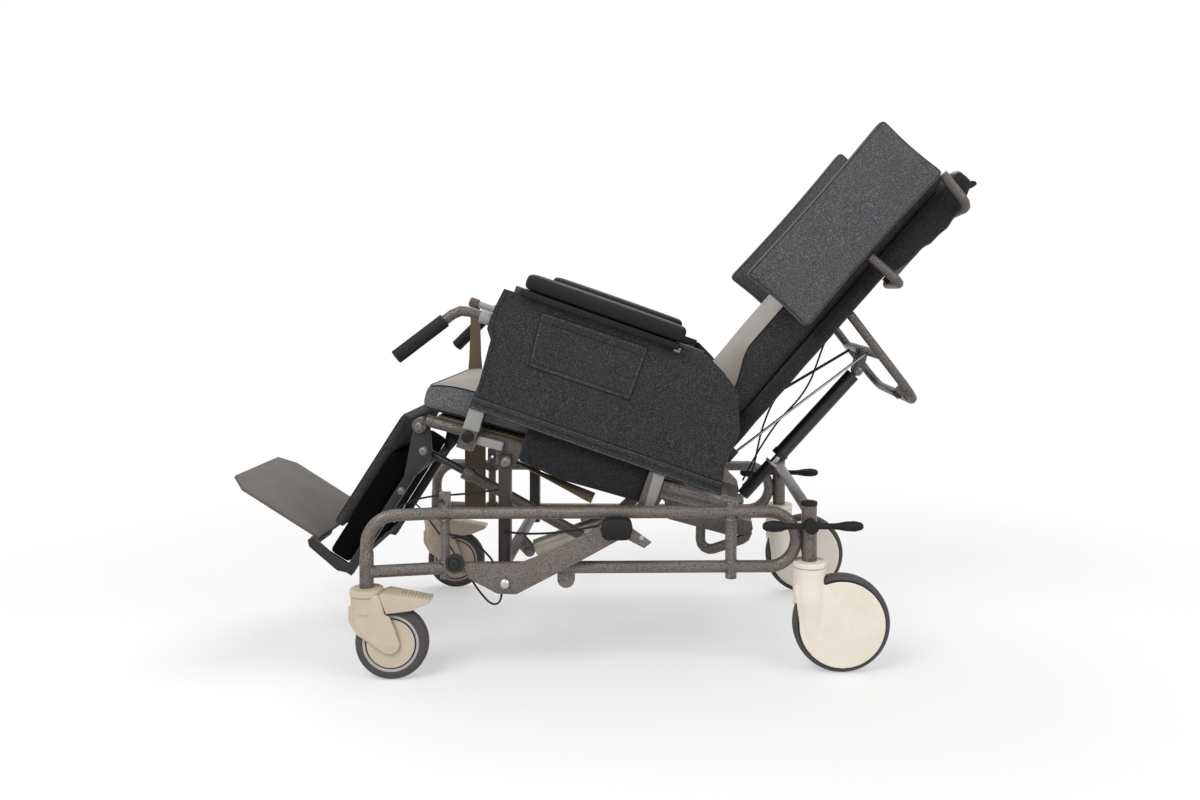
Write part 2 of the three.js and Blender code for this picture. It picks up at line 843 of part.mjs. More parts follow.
addPiece(wheelchair, 'rear_cross_tube', largestPiece(rearCross), finishes.framePaint);

// Rear casters

function rearFork(side) {
  const y = side * rearPostHalfTrack;
  const wheelX = rearPostX + rearTrail;
  const pocketHalf = rearTreadWidth / 2 + rearCheekGap;
  const neckTop = rearPostLow - seatGap;
  const neck = weld(
    bar([rearPostX, y, rearHousingLow], [rearPostX, y, rearHousingShoulder], rearHousingRadius, discSides),
    bar([rearPostX, y, rearHousingShoulder - weldDepth], [rearPostX, y, neckTop], rearHousingRadius, discSides,
      rearHousingTopRadius),
  );
  const pocket = bar([wheelX, y - pocketHalf, rearWheelRadius], [wheelX, y + pocketHalf, rearWheelRadius],
    rearWheelRadius + wheelRunningGap, wheelSides);
  const cheeks = [LEFT, RIGHT].map((hand) => {
    const near = y + hand * pocketHalf;
    const far = near + hand * rearCheekThickness;
    const web = outlineOf([
      [rearPostX - rearHousingRadius, rearHousingLow + rearHousingRadius],
      [wheelX - rearCheekRadius, rearWheelRadius],
      [wheelX, rearWheelRadius],
      [rearPostX + rearHousingRadius, rearHousingLow + rearHousingRadius],
    ]);
    return weld(disc(wheelX, rearWheelRadius, rearCheekRadius, near, far, wheelSides), plate(web, near, far));
  });
  const axle = bar([wheelX, y - pocketHalf - rearCheekThickness, rearWheelRadius],
    [wheelX, y + pocketHalf + rearCheekThickness, rearWheelRadius], rearAxleRadius);
  return weld(cut(neck, pocket), ...cheeks, axle);
}

function rearWheel(side) {
  const bore = boreRadius(rearAxleRadius, wheelSides);
  const outer = rearWheelRadius / Math.cos(Math.PI / wheelSides);
  const half = rearTreadWidth / 2;
  const shoulder = half / 2;
  return turned([
    [bore, -half], [outer - shoulder, -half], [outer, -shoulder],
    [outer, shoulder], [outer - shoulder, half], [bore, half],
  ], wheelSides, rearPostX + rearTrail, side * rearPostHalfTrack, rearWheelRadius);
}

// Front casters

function frontFork(side) {
  const y = side * casterHalfTrackFront;
  const axleX = frontStemX + frontTrail;
  const pocketHalf = frontTreadWidth / 2 + frontLegGap;
  const neckTop = stemHousingLow - seatGap;
  const neck = bar([frontStemX, y, frontHousingLow], [frontStemX, y, neckTop], frontHousingRadius, discSides);
  const pocket = bar([axleX, y - pocketHalf, frontWheelRadius], [axleX, y + pocketHalf, frontWheelRadius],
    frontWheelRadius + wheelRunningGap, wheelSides);
  const legs = [LEFT, RIGHT].map((hand) => {
    const near = y + hand * pocketHalf;
    const far = near + hand * frontLegThickness;
    const boss = disc(axleX, frontWheelRadius, frontAxleBossRadius, near, far);
    const left = frontStemX - frontHousingRadius;
    const right = frontStemX + frontHousingRadius;
    const leg = outlineOf([
      [left, frontHousingLow + frontHousingRadius / 2],
      [left, frontHousingLow - frontHousingRadius / 2],
      [left + frontHousingRadius / 2, frontWheelRadius + frontAxleBossRadius],
      [axleX - frontAxleBossRadius / 2, frontWheelRadius - frontAxleBossRadius * 0.85],
      [axleX + frontAxleBossRadius * 0.85, frontWheelRadius + frontAxleBossRadius / 2],
      [right, frontHousingLow],
      [right - frontHousingRadius / 8, frontHousingLow + frontHousingRadius / 2],
    ]);
    return weld(boss, plate(leg, near, far));
  });
  const axle = bar([axleX, y - pocketHalf - frontLegThickness, frontWheelRadius],
    [axleX, y + pocketHalf + frontLegThickness, frontWheelRadius], frontAxleRadius);
  return weld(cut(neck, pocket), ...legs, axle);
}

function frontWheel(side) {
  const bore = boreRadius(frontAxleRadius, wheelSides);
  const half = frontTreadWidth / 2;
  const web = half / 2;
  const rimWall = half / 2;
  return turned([
    [bore, -half], [frontHubRadius / 3, -half], [frontHubRadius / 3, -web], [frontHubRadius - rimWall, -web],
    [frontHubRadius - rimWall, -half], [frontHubRadius, -half], [frontHubRadius, half], [frontHubRadius - rimWall, half],
    [frontHubRadius - rimWall, web], [frontHubRadius / 3, web], [frontHubRadius / 3, half], [bore, half],
  ], wheelSides, frontStemX + frontTrail, side * casterHalfTrackFront, frontWheelRadius);
}

function frontTyre(side) {
  const inner = boreRadius(frontHubRadius, wheelSides);
  const outer = frontWheelRadius / Math.cos(Math.PI / wheelSides);
  const half = frontTreadWidth / 2;
  const shoulder = half / 2;
  return turned([
    [inner, -half], [outer - shoulder, -half], [outer, -shoulder],
    [outer, shoulder], [outer - shoulder, half], [inner, half],
  ], wheelSides, frontStemX + frontTrail, side * casterHalfTrackFront, frontWheelRadius);
}

function brakePedal(side) {
  const y = side * casterHalfTrackFront;
  const root = frontStemX + frontHousingRadius + seatGap;
  const tip = frontStemX + brakePedalReach;
  const span = tip - root;
  const pocketHalf = (frontTreadWidth + frontLegGap) / 2;
  const axleX = frontStemX + frontTrail;
  const pocket = bar([axleX, y - pocketHalf, frontWheelRadius], [axleX, y + pocketHalf, frontWheelRadius],
    frontWheelRadius + brakePocketGap, wheelSides);
  return cut(plate(outlineOf([
    [root, brakePedalTop],
    [root + span * 0.1, brakePedalTop + span * 0.03],
    [tip, brakePedalTop - span * 0.12],
    [tip - span * 0.02, brakePedalTop - span * 0.19],
    [root + span * 0.62, brakePedalTop - span * 0.33],
    [root + span * 0.14, brakePedalTop - span * 0.38],
  ]), y - brakePedalWidth / 2, y + brakePedalWidth / 2), pocket);
}

for (const side of [LEFT, RIGHT]) {
  const name = sideName(side);
  addPiece(wheelchair, `front_caster_fork_${name}`, frontFork(side), finishes.beigePlastic);
  addPiece(wheelchair, `front_wheel_${name}`, frontWheel(side), finishes.hubGrey);
  addPiece(wheelchair, `front_tyre_${name}`, frontTyre(side), finishes.greyTread);
  addPiece(wheelchair, `front_brake_pedal_${name}`, brakePedal(side), finishes.beigePlastic);
  addPiece(wheelchair, `rear_caster_fork_${name}`, rearFork(side), finishes.ivoryPlastic);
  addPiece(wheelchair, `rear_wheel_${name}`, rearWheel(side), finishes.greyTread);
}

// Rear caster locks: each pedal has a short shaft through its post

const lockPedalInner = rearPostHalfTrack + rearPostRadius + seatGap * 2;

function lockPedal(side) {
  const outline = outlineOf([
    [rearPostX - lockPedalReachFront, lockShaftHeight + lockPedalEndRadius],
    [rearPostX - lockPedalReachFront - lockPedalEndRadius, lockShaftHeight],
    [rearPostX - lockPedalReachFront, lockShaftHeight - lockPedalEndRadius],
    [rearPostX - lockPedalReachFront / 2, lockShaftHeight - lockPedalEndRadius * 0.75],
    [rearPostX - lockPedalHubRadius, lockShaftHeight - lockPedalHubRadius],
    [rearPostX + lockPedalHubRadius, lockShaftHeight - lockPedalHubRadius],
    [rearPostX + lockPedalReachRear / 2, lockShaftHeight - lockPedalEndRadius * 0.75],
    [rearPostX + lockPedalReachRear, lockShaftHeight - lockPedalEndRadius],
    [rearPostX + lockPedalReachRear + lockPedalEndRadius, lockShaftHeight],
    [rearPostX + lockPedalReachRear, lockShaftHeight + lockPedalEndRadius],
    [rearPostX + lockPedalReachRear / 2, lockShaftHeight + lockPedalEndRadius * 0.75],
    [rearPostX + lockPedalHubRadius, lockShaftHeight + lockPedalHubRadius],
    [rearPostX - lockPedalHubRadius, lockShaftHeight + lockPedalHubRadius],
    [rearPostX - lockPedalReachFront / 2, lockShaftHeight + lockPedalEndRadius * 0.75],
  ]);
  return plate(outline, side * lockPedalInner, side * (lockPedalInner + lockPedalThickness), 2);
}

const lockShaftInner = rearPostHalfTrack - rearPostRadius - lockShaftStub;
const lockShaftOuter = lockPedalInner - seatGap;
for (const side of [LEFT, RIGHT]) {
  addPiece(wheelchair, `lock_shaft_${sideName(side)}`, bar([rearPostX, side * lockShaftInner, lockShaftHeight],
    [rearPostX, side * lockShaftOuter, lockShaftHeight], lockShaftRadius, 6), finishes.chrome);
  addPiece(wheelchair, `lock_pedal_${sideName(side)}`, lockPedal(side), finishes.blackRubber);
}

// Tilt release foot lever

const footLeverShares = [
  [0.0775, -0.0688], [0.225, -0.145], [0.3225, -0.1487], [0.5125, -0.05],
  [0.6425, 0.0175], [0.875, 0.145], [0.9825, 0.09], [1.02, 0.12],
  [0.93, 0.185], [0.875, 0.22], [0.795, 0.2275], [0.5425, 0.0925],
  [0.345, 0.015], [0.0425, 0.0075],
];
const footLeverOutline = footLeverShares.map(([along, up]) => [
  footLeverPivotX + along * footLeverLength,
  footLeverPivotHeight + up * footLeverLength,
]);
const footLever = cut(
  weld(
    plate(outlineOf(footLeverOutline), -footLeverInnerY, -footLeverOuterY),
    disc(footLeverPivotX, footLeverPivotHeight, footLeverBossRadius, -footLeverInnerY, -footLeverOuterY),
    disc(footLeverPivotX + footLeverBoltReach, footLeverPivotHeight - footLeverBoltDrop, footLeverBoltRadius,
      -footLeverOuterY, -footLeverOuterY - footLeverBoltThickness),
  ),
  bar([footLeverPivotX, 0, footLeverPivotHeight], [footLeverPivotX, -footLeverOuterY * 2, footLeverPivotHeight],
    boreRadius(pivotPinRadius, tubeSides)),
);
addPiece(wheelchair, 'tilt_foot_lever', footLever, finishes.framePaint);

const footPadX = footLeverPivotX + footPadReach;
const footPadHigh = footLeverPivotHeight + footPadRise;
const footPad = pad({ length: footPadLength, width: footPadWidth, thickness: footPadHeight, shoulderShare: 0.6,
  flatBottom: false, columns: 8, rows: 6 })
  .translate(footPadX, -footLeverOuterY - seatGap - footPadWidth / 2, footPadHigh);
addPiece(wheelchair, 'tilt_foot_pad', footPad, finishes.blackRubber);

// Cylinders and struts that follow the tilting parts

/** Moves pieces built along +X to start at one point and run toward another. */
function aimed(geometry, y, fromX, fromZ, toX, toZ) {
  return geometry.clone().rotateY(-Math.atan2(toZ - fromZ, toX - fromX)).translate(fromX, y, fromZ);
}

function eye(x, hole) {
  const half = cylinderEyeThickness / 2;
  const ring = disc(x, 0, cylinderEyeRadius, -half, half);
  if (!hole) return ring;
  return cut(ring, bar([x, -cylinderEyeRadius, 0], [x, cylinderEyeRadius, 0], boreRadius(pivotPinRadius, tubeSides)));
}

const spanBetween = (x, z, toX, toZ) => Math.hypot(toX - x, toZ - z);

/** A hollow body with an eye at the origin; its mouth faces +X. */
function cylinderBody(start, length, radius, rodRadius, { hole, floor = cylinderBoreFloor, collar = 0 }) {
  const end = start + length;
  const neckStart = boreRadius(pivotPinRadius, tubeSides) + weldDepth / 2;
  const half = cylinderEyeThickness / 2;
  const whole = weld(
    eye(0, hole),
    block([neckStart, -half, -half], [start + weldDepth, half, half]),
    bar([start, 0, 0], [end, 0, 0], radius, discSides),
    ...(collar > 0 ? [bar([end - collar, 0, 0], [end, 0, 0], radius + weldDepth, discSides)] : []),
  );
  return cut(whole, bar([start + floor, 0, 0], [end + cutOverrun, 0, 0], boreRadius(rodRadius, tubeSides)));
}

const [tiltHighX, tiltHighZ] = outward(tiltHighPinX, tiltHighPinRise, tiltPivotX, tiltPivotHeight, seatTilt);
const tiltSpan = spanBetween(tiltLowPinX, tiltLowPinHeight, tiltHighX, tiltHighZ);
const tiltBody = cylinderBody(tiltBodyStart, tiltBodyLength, tiltCylinderRadius, tiltRodRadius, { hole: true });
/** A rod that ends in a flat tongue and an eye at its far end. */
function cylinderRod(start, end, radius, { hole = false } = {}) {
  const half = cylinderEyeThickness / 2;
  const tongueStart = end - rodTongueLength;
  return weld(
    bar([start, 0, 0], [tongueStart, 0, 0], radius),
    block([tongueStart - weldDepth, -half, -half], [end - cylinderEyeRadius + weldDepth, half, half]),
    eye(end, hole),
  );
}

const tiltRod = cylinderRod(tiltRodInner, tiltSpan, tiltRodRadius);
const tiltLine = [tiltCylinderY, tiltLowPinX, tiltLowPinHeight, tiltHighX, tiltHighZ];
addPiece(wheelchair, 'tilt_cylinder', aimed(tiltBody, ...tiltLine), finishes.silver);
addPiece(wheelchair, 'tilt_rod', aimed(tiltRod, ...tiltLine), finishes.chrome);

// Seat frame

const sidePlateInner = seatRailHalfWidth - frameTubeRadius - plateThickness + weldDepth / 2;
const sidePlateOuter = sidePlateInner + plateThickness + weldDepth / 2;
const backLugOuter = sidePlateInner - seatGap * 2;
const kneeLugInner = seatRailHalfWidth - frameTubeRadius;
const legPlateOuter = kneeLugInner - seatGap * 5;
const legPlateInner = legPlateOuter - legPlateThickness;
const socketInner = seatRailHalfWidth + frameTubeRadius;
const socketPost = socketPostRange();

function socketPostRange() {
  return [armHalfWidth - armPostThickness / 2, armHalfWidth + armPostThickness / 2];
}

const socketOuter = socketPost[1] + armSocketThickness;

/** A pin with a head at its far end, along Y on one side of the chair. */
function headedPin(x, z, side, from, to, radius = pivotPinRadius) {
  const outer = Math.sign(to - from);
  return weld(
    bar([x, side * from, z], [x, side * to, z], radius),
    disc(x, z, pivotHeadRadius, side * to, side * (to + outer * pivotHeadThickness), tubeSides),
  );
}

function armSocket(side, x) {
  const half = armPostWidth / 2;
  const outerHalf = half + armSocketThickness;
  const low = armPostFoot - armSocketThickness;
  const shell = block(
    [x - outerHalf, Math.min(side * socketInner, side * socketOuter), low],
    [x + outerHalf, Math.max(side * socketInner, side * socketOuter), low + armSocketHeight],
  );
  const [near, far] = socketPost.map((value) => side * value).sort((a, b) => a - b);
  const channel = block(
    [x - half - seatGap, near - seatGap, low - cutOverrun],
    [x + half + seatGap, far + seatGap, low + armSocketHeight + cutOverrun],
  );
  const stem = bar([x, side * armHalfWidth, armKnobRise], [x, side * (socketOuter + cutOverrun), armKnobRise],
    boreRadius(armKnobRadius / 3, tubeSides));
  return cut(shell, channel, ...(x < 0 ? [stem] : [])).rotateY(radians(armPitch));
}

function socketBracket(side, x) {
  const half = armPostWidth / 2;
  const inner = seatRailHalfWidth;
  const outer = socketInner + armSocketThickness / 2;
  return block(
    [x - half, Math.min(side * inner, side * outer), seatRailRise - frameTubeRadius / 2],
    [x + half, Math.max(side * inner, side * outer), seatRailRise + frameTubeRadius / 2],
  );
}

function seatSide(side) {
  const y = side * seatRailHalfWidth;
  const rail = bar([seatRailFront, y, seatRailRise], [seatRailRear, y, seatRailRise], frameTubeRadius);
  const kneeLug = weld(
    disc(kneePivotX, kneePivotRise, kneeLugRadius, side * kneeLugInner, y),
    headedPin(kneePivotX, kneePivotRise, side, seatRailHalfWidth, legPlateInner - seatGap * 2),
  );
  const low = sidePlateDrop;
  const sidePlate = plate(outlineOf([
    [sidePlateFront, seatRailRise + plateThickness],
    [sidePlateFront, seatRailRise - plateThickness],
    [tiltHangerX, 0],
    [tiltHangerX + plateThickness * 3, low],
    [seatCrossRear - plateThickness, low],
    [sidePlateRear, low + plateThickness * 2],
    [sidePlateRear + plateThickness, seatCrossRearRise + plateThickness],
    [sidePlateRear - plateThickness, seatRailRise / 2],
    [seatRailRear, seatRailRise + plateThickness],
    [reclinePivotX + kneeLugRadius, seatRailRise + plateThickness],
    [reclinePivotX + kneeLugRadius, reclinePivotRise],
    [reclinePivotX - kneeLugRadius, reclinePivotRise],
    [reclinePivotX - kneeLugRadius * 1.5, seatRailRise + plateThickness],
  ]), side * sidePlateInner, side * sidePlateOuter);
  const reclineBoss = disc(reclinePivotX, reclinePivotRise, kneeLugRadius, side * sidePlateInner, side * sidePlateOuter);
  const reclinePin = headedPin(reclinePivotX, reclinePivotRise, side, sidePlateInner + weldDepth,
    backLugOuter - plateThickness - seatGap * 2);
  const bracketInner = socketInner - weldDepth;
  const bracketOuter = uprightHalfTrack - uprightWidth / 2 - seatGap;
  const pivotBracket = weld(
    plate(outlineOf([
      [-pivotBracketHalf, seatRailRise + plateThickness],
      [-pivotBossRadius, -pivotBossRadius / 2],
      [pivotBossRadius, -pivotBossRadius / 2],
      [pivotBracketHalf, seatRailRise + plateThickness],
    ]), side * bracketInner, side * bracketOuter),
    disc(0, 0, pivotBossRadius, side * bracketInner, side * bracketOuter),
    headedPin(0, 0, side, bracketInner, uprightHalfTrack + uprightWidth / 2 + seatGap),
  );
  const sockets = [armPostFrontX, armPostRearX].flatMap((x) => [armSocket(side, x), socketBracket(side, x)]);
  return [rail, kneeLug, sidePlate, reclineBoss, reclinePin, pivotBracket, ...sockets];
}

const plateReach = sidePlateInner + weldDepth;
const hangerInner = sidePlateInner + weldDepth - plateThickness;
const hangerTop = [sidePlateFront + hangerWidth, seatRailRise - plateThickness / 2];
const strutGapToHanger = strutHalfWidth + cylinderEyeThickness / 2;

function strutHanger() {
  const along = new THREE.Vector2(...hangerTop).sub(new THREE.Vector2(strutRearX, strutRearRise)).normalize();
  const across = new THREE.Vector2(-along.y, along.x).multiplyScalar(hangerWidth / 2);
  const low = new THREE.Vector2(strutRearX, strutRearRise);
  const high = new THREE.Vector2(...hangerTop);
  const inner = LEFT * hangerInner;
  const outer = LEFT * (hangerInner + plateThickness);
  return weld(
    plate([low.clone().sub(across), high.clone().sub(across), high.clone().add(across), low.clone().add(across)],
      inner, outer),
    disc(strutRearX, strutRearRise, hangerWidth / 2, inner, outer),
    headedPin(strutRearX, strutRearRise, LEFT, hangerInner + weldDepth,
      strutGapToHanger - cylinderEyeThickness - seatGap * 2),
  );
}

const cross = (x, z, reach, radius) => bar([x, -reach, z], [x, reach, z], radius);

const sideLoop = tube(
  [
    [tiltHangerX + loopFrontOffset, LEFT * (plateReach - loopRadius / 2), seatCrossRearRise + plateThickness],
    [tiltHangerX + loopFootOffset, LEFT * (plateReach - loopRadius / 2), loopFootRise],
    [sidePlateRear + plateThickness, LEFT * (plateReach - loopRadius / 2), loopRearRise],
    [sidePlateRear - hangerWidth, LEFT * (plateReach - loopRadius / 2), seatRailRise / 4],
  ],
  loopRadius,
  [loopRadius * 2, loopRadius * 1.6],
);

const seatFrame = weld(
  ...seatSide(LEFT),
  ...seatSide(RIGHT),
  cross(seatCrossFront, seatRailRise, seatRailHalfWidth, handleTubeRadius),
  cross(tiltHangerX, tiltHangerRise, plateReach, handleTubeRadius),
  cross(seatCrossRear, seatCrossRearRise, plateReach, frameTubeRadius),
  ...clevisPair(tiltHighPinX, tiltHighPinRise, tiltHangerX, tiltHangerRise, tiltCylinderY),
  ...clevisPair(reclineLowPinX, reclineLowPinRise, seatCrossRear, seatCrossRearRise, 0),
  clevisPin(reclineLowPinX, reclineLowPinRise, 0),
  strutHanger(),
  sideLoop,
);
addPiece(seatGroup, 'seat_frame', seatFrame, finishes.framePaint);

// Seat upholstery

const facingUp = new THREE.Matrix4();
const facingOut = new THREE.Matrix4().makeBasis(
  new THREE.Vector3(1, 0, 0), new THREE.Vector3(0, 0, 1), new THREE.Vector3(0, -1, 0),
);
const facingFront = new THREE.Matrix4().makeBasis(
  new THREE.Vector3(0, 0, 1), new THREE.Vector3(0, 1, 0), new THREE.Vector3(-1, 0, 0),
);
const standing = new THREE.Matrix4().makeBasis(
  new THREE.Vector3(0, 0, 1), new THREE.Vector3(1, 0, 0), new THREE.Vector3(0, 1, 0),
);

/** A pad turned to a facing and set between its low and high corners. */
function padBetween([lowX, lowY, lowZ], [highX, highY, highZ], facing, shape) {
  const size = new THREE.Vector3(highX - lowX, highY - lowY, highZ - lowZ);
  const own = size.clone().applyMatrix4(facing.clone().transpose());
  return pad({ ...shape, length: Math.abs(own.x), width: Math.abs(own.y), thickness: Math.abs(own.z) })
    .applyMatrix4(facing)
    .translate((lowX + highX) / 2, (lowY + highY) / 2, (lowZ + highZ) / 2);
}

const deckLow = seatRailRise + frameTubeRadius + seatGap;
const cushionLow = deckLow + deckThickness + seatGap;
const deckHalfWidth = cushionHalfWidth - deckThickness;
addPiece(seatGroup, 'seat_webbing', block(
  [deckFront, -deckHalfWidth, deckLow],
  [deckRear, deckHalfWidth, deckLow + deckThickness],
), finishes.oliveWebbing);
addPiece(seatGroup, 'seat_cushion', padBetween(
  [cushionFront, -cushionHalfWidth, cushionLow],
  [cushionRear, cushionHalfWidth, cushionLow + cushionThickness],
  facingUp,
  { crown: cushionCrown, drawIn: 4, shoulderShare: 0.5, columns: 14, rows: 10 },
), finishes.charcoalCloth);

for (const side of [LEFT, RIGHT]) {
  const inner = side * (socketInner + seatGap * 2);
  const outer = side * (socketInner + seatGap * 2 + sideRollThickness);
  addPiece(seatGroup, `side_roll_${sideName(side)}`, padBetween(
    [sideRollFront, Math.min(inner, outer), sideRollLow],
    [sideRollRear, Math.max(inner, outer), sideRollHeight],
    facingOut,
    { shoulderShare: 0.8, flatBottom: false, columns: 10, rows: 8 },
  ), finishes.charcoalCloth);
}

// Armrests

const armTop = armChannelLow + armChannelHeight;
const panelInner = socketPost[1] + seatGap;
const handleY = armHalfWidth;

function armFrame(side) {
  const [near, far] = socketPost.map((value) => side * value).sort((a, b) => a - b);
  const post = (x) => block(
    [x - armPostWidth / 2, near, armPostFoot],
    [x + armPostWidth / 2, far, armChannelLow + weldDepth],
  );
  const inner = side * (armHalfWidth - armPadWidth / 4);
  const channel = block(
    [armPostFrontX - armPostWidth / 2, Math.min(inner, side * socketPost[1]), armChannelLow],
    [armPostRearX + armPostWidth / 2, Math.max(inner, side * socketPost[1]), armTop],
  );
  const y = side * handleY;
  const sleeveRear = handleSleeveX + handleSleeveLength;
  const sleeve = weld(
    bar([handleSleeveX, y, handleRise], [sleeveRear, y, handleRise], handleSleeveRadius, discSides),
    bar([sleeveRear - weldDepth, y, handleRise], [armPostFrontX, y, handleRise], armPostThickness / 2),
  );
  const pieces = [post(armPostFrontX), post(armPostRearX), channel, sleeve];
  if (side === RIGHT) {
    const stubY = stubHalfWidth;
    pieces.push(bar([armPostFrontX, stubY, stubRise], [stubEndX, stubY, stubRise], stubTubeRadius));
    pieces.push(block(
      [armPostFrontX - armPostWidth / 2, stubY, stubRise - stubTubeRadius],
      [armPostFrontX + armPostWidth / 2, armHalfWidth, stubRise + stubTubeRadius],
    ));
  }
  return cut(weld(...pieces), bar(
    [handleSleeveX - cutOverrun, y, handleRise],
    [sleeveRear - plateThickness, y, handleRise],
    boreRadius(handleTubeRadius, tubeSides),
  ));
}

function handleCorners(side) {
  const endX = side === RIGHT ? rightHandleEndX : handleEndX;
  const start = handleSleeveX + handleSleeveLength - plateThickness - seatGap;
  return [
    [start, side * handleY, handleRise],
    [handleBendX, side * handleY, handleRise],
    [endX, side * (handleY + handleFlare), handleEndRise],
  ];
}

/** The grip runs over the last straight of the handle and closes past its end. */
function handleGrip(side) {
  const [, bend, end] = handleCorners(side).map((corner) => new THREE.Vector3(...corner));
  const along = end.clone().sub(bend).normalize();
  const start = end.clone().addScaledVector(along, -gripLength);
  const tip = end.clone().addScaledVector(along, gripWall);
  const boreEnd = end.clone().addScaledVector(along, seatGap);
  const boreStart = start.clone().addScaledVector(along, -cutOverrun);
  return cut(
    bar(start.toArray(), tip.toArray(), gripRadius, discSides),
    bar(boreStart.toArray(), boreEnd.toArray(), boreRadius(handleTubeRadius, discSides, seatGap * 2), discSides),
  );
}

const panelShares = [
  [-0.275, 0.215], [1.135, 0.2175], [1.105, 0.365], [1.12, 0.565],
  [1.0375, 0.765], [0.935, 0.835], [0.825, 0.89], [-0.305, 0.8675],
  [-0.32, 0.74], [-0.32, 0.64], [-0.2825, 0.59], [-0.265, 0.35],
];
const pocketShares = [[-0.0725, 0.815], [-0.045, 0.53], [0.51, 0.5375], [0.5125, 0.8225]];
const panelPoints = (shares) => shares.map(([along, up]) => [along * sidePanelLength, up * sidePanelLength]);

function sidePanel(side) {
  const outerFace = panelInner + sidePanelThickness;
  const outline = panelPoints(panelShares);
  const top = Math.max(...outline.map(([, z]) => z));
  const drop = Math.min(0, armTop - seatGap - top);
  const shifted = outline.map(([x, z]) => [x, z + drop]);
  return weld(
    plate(outlineOf(shifted), side * panelInner, side * outerFace, sidePanelBevel),
    plate(outlineOf(panelPoints(pocketShares)), side * (outerFace - weldDepth), side * (outerFace + pocketThickness)),
  );
}

function armKnob(side) {
  const start = socketOuter + seatGap;
  return weld(
    disc(armPostFrontX, armKnobRise, armKnobRadius, side * start, side * (start + armKnobThickness)),
    bar([armPostFrontX, side * (socketPost[1] + seatGap * 2), armKnobRise],
      [armPostFrontX, side * (start + weldDepth), armKnobRise], armKnobRadius / 3),
  );
}

for (const side of [LEFT, RIGHT]) {
  const name = sideName(side);
  addPiece(armGroup, `arm_frame_${name}`, armFrame(side), finishes.bracketGrey);
  addPiece(armGroup, `arm_pad_${name}`, padBetween(
    [armPadFront, side * armHalfWidth - armPadWidth / 2, armTop + seatGap],
    [armPadFront + armPadLength, side * armHalfWidth + armPadWidth / 2, armTop + seatGap + armPadThickness],
    facingUp,
    { crown: 2, shoulderShare: 0.6, columns: 10, rows: 8 },
  ), finishes.blackVinyl);
  addPiece(armGroup, `side_panel_${name}`, sidePanel(side), finishes.charcoalCloth);
  addPiece(armGroup, `arm_knob_${name}`, armKnob(side), finishes.blackRubber);
  addPiece(armGroup, `handle_tube_${name}`, tube(handleCorners(side), handleTubeRadius, handleBendRadius),
    finishes.blackSteel);
  addPiece(armGroup, `handle_grip_${name}`, handleGrip(side), finishes.blackRubber);
}

// Hanging strap: a sewn loop round the stub, then a band that hangs straight down

function hangingStrap() {
  const loopBore = boreRadius(stubTubeRadius, tubeSides);
  const loopOuter = stubTubeRadius + strapLoopWall + seatGap;
  const loopStart = stubEndX + weldDepth;
  const loopEnd = loopStart + strapTopWidth;
  const loop = bar([loopStart, stubHalfWidth, stubRise], [loopEnd, stubHalfWidth, stubRise], loopOuter);
  const bore = bar([loopStart - cutOverrun, stubHalfWidth, stubRise], [loopEnd + cutOverrun, stubHalfWidth, stubRise], loopBore);
  const hang = radians(armPitch + seatTilt);
  const topX = (loopStart + loopEnd) / 2;
  const floorRise = strapLength;
  const bandY = stubHalfWidth + loopOuter - strapThickness / 2;
  const section = (drop, width) => {
    const x = topX - drop * Math.sin(hang) * -1;
    const z = stubRise - drop * Math.cos(hang);
    const dx = (Math.cos(hang) * width) / 2;
    const dz = (Math.sin(hang) * width) / 2;
    return [
      [x - dx, bandY - strapThickness / 2, z - dz],
      [x + dx, bandY - strapThickness / 2, z + dz],
      [x + dx, bandY + strapThickness / 2, z + dz],
      [x - dx, bandY + strapThickness / 2, z - dz],
    ];
  };
  const band = loft([
    section(0, strapTopWidth),
    section(strapLength / 4, strapTopWidth * 1.4),
    section(strapLength / 2, strapWidth),
    section(floorRise, strapWidth),
  ]);
  return cut(weld(loop, band), bore);
}

addPiece(armGroup, 'hanging_strap', hangingStrap(), finishes.oliveWebbing);

// Back

const backPanFront = backTubeX - frameTubeRadius - weldDepth;

function backFrame() {
  const lug = (side) => {
    const inner = side * (backLugOuter - plateThickness);
    const outer = side * backLugOuter;
    return cut(
      weld(
        plate(outlineOf([
          [-backLugRadius, 0], [backLugRadius, 0], [backTubeX + frameTubeRadius, backTubeFoot + backLugRadius * 2],
          [backTubeX - frameTubeRadius, backTubeFoot + backLugRadius * 2],
          [backTubeX - frameTubeRadius, backTubeFoot],
        ]), inner, outer),
        disc(0, 0, backLugRadius, inner, outer),
      ),
      bar([0, side * seatRailHalfWidth, 0], [0, 0, 0], boreRadius(pivotPinRadius, tubeSides)),
    );
  };
  return weld(
    tube(
      [
        [backTubeX, -backTubeHalfWidth, backTubeFoot],
        [backTubeX, -backTubeHalfWidth, backTubeTop],
        [backTubeX, backTubeHalfWidth, backTubeTop],
        [backTubeX, backTubeHalfWidth, backTubeFoot],
      ],
      frameTubeRadius,
      backTopBendRadius,
    ),
    block(
      [backPanFront, -backTubeHalfWidth, backPanLow],
      [backPanFront + backPanThickness, backTubeHalfWidth, backPanHigh],
    ),
    lug(LEFT),
    lug(RIGHT),
    cross(backTubeX, backPanLow + backTopBendRadius, backTubeHalfWidth, handleTubeRadius),
  );
}

addPiece(backGroup, 'back_frame', backFrame(), finishes.framePaint);
addPiece(backGroup, 'back_cushion', padBetween(
  [backPanFront - seatGap - backCushionThickness, -backCushionHalfWidth, backCushionLow],
  [backPanFront - seatGap, backCushionHalfWidth, backCushionHigh],
  facingFront,
  { crown: backCushionCrown, drawIn: 5, shoulderShare: 0.5, columns: 16, rows: 12 },
), finishes.charcoalCloth);

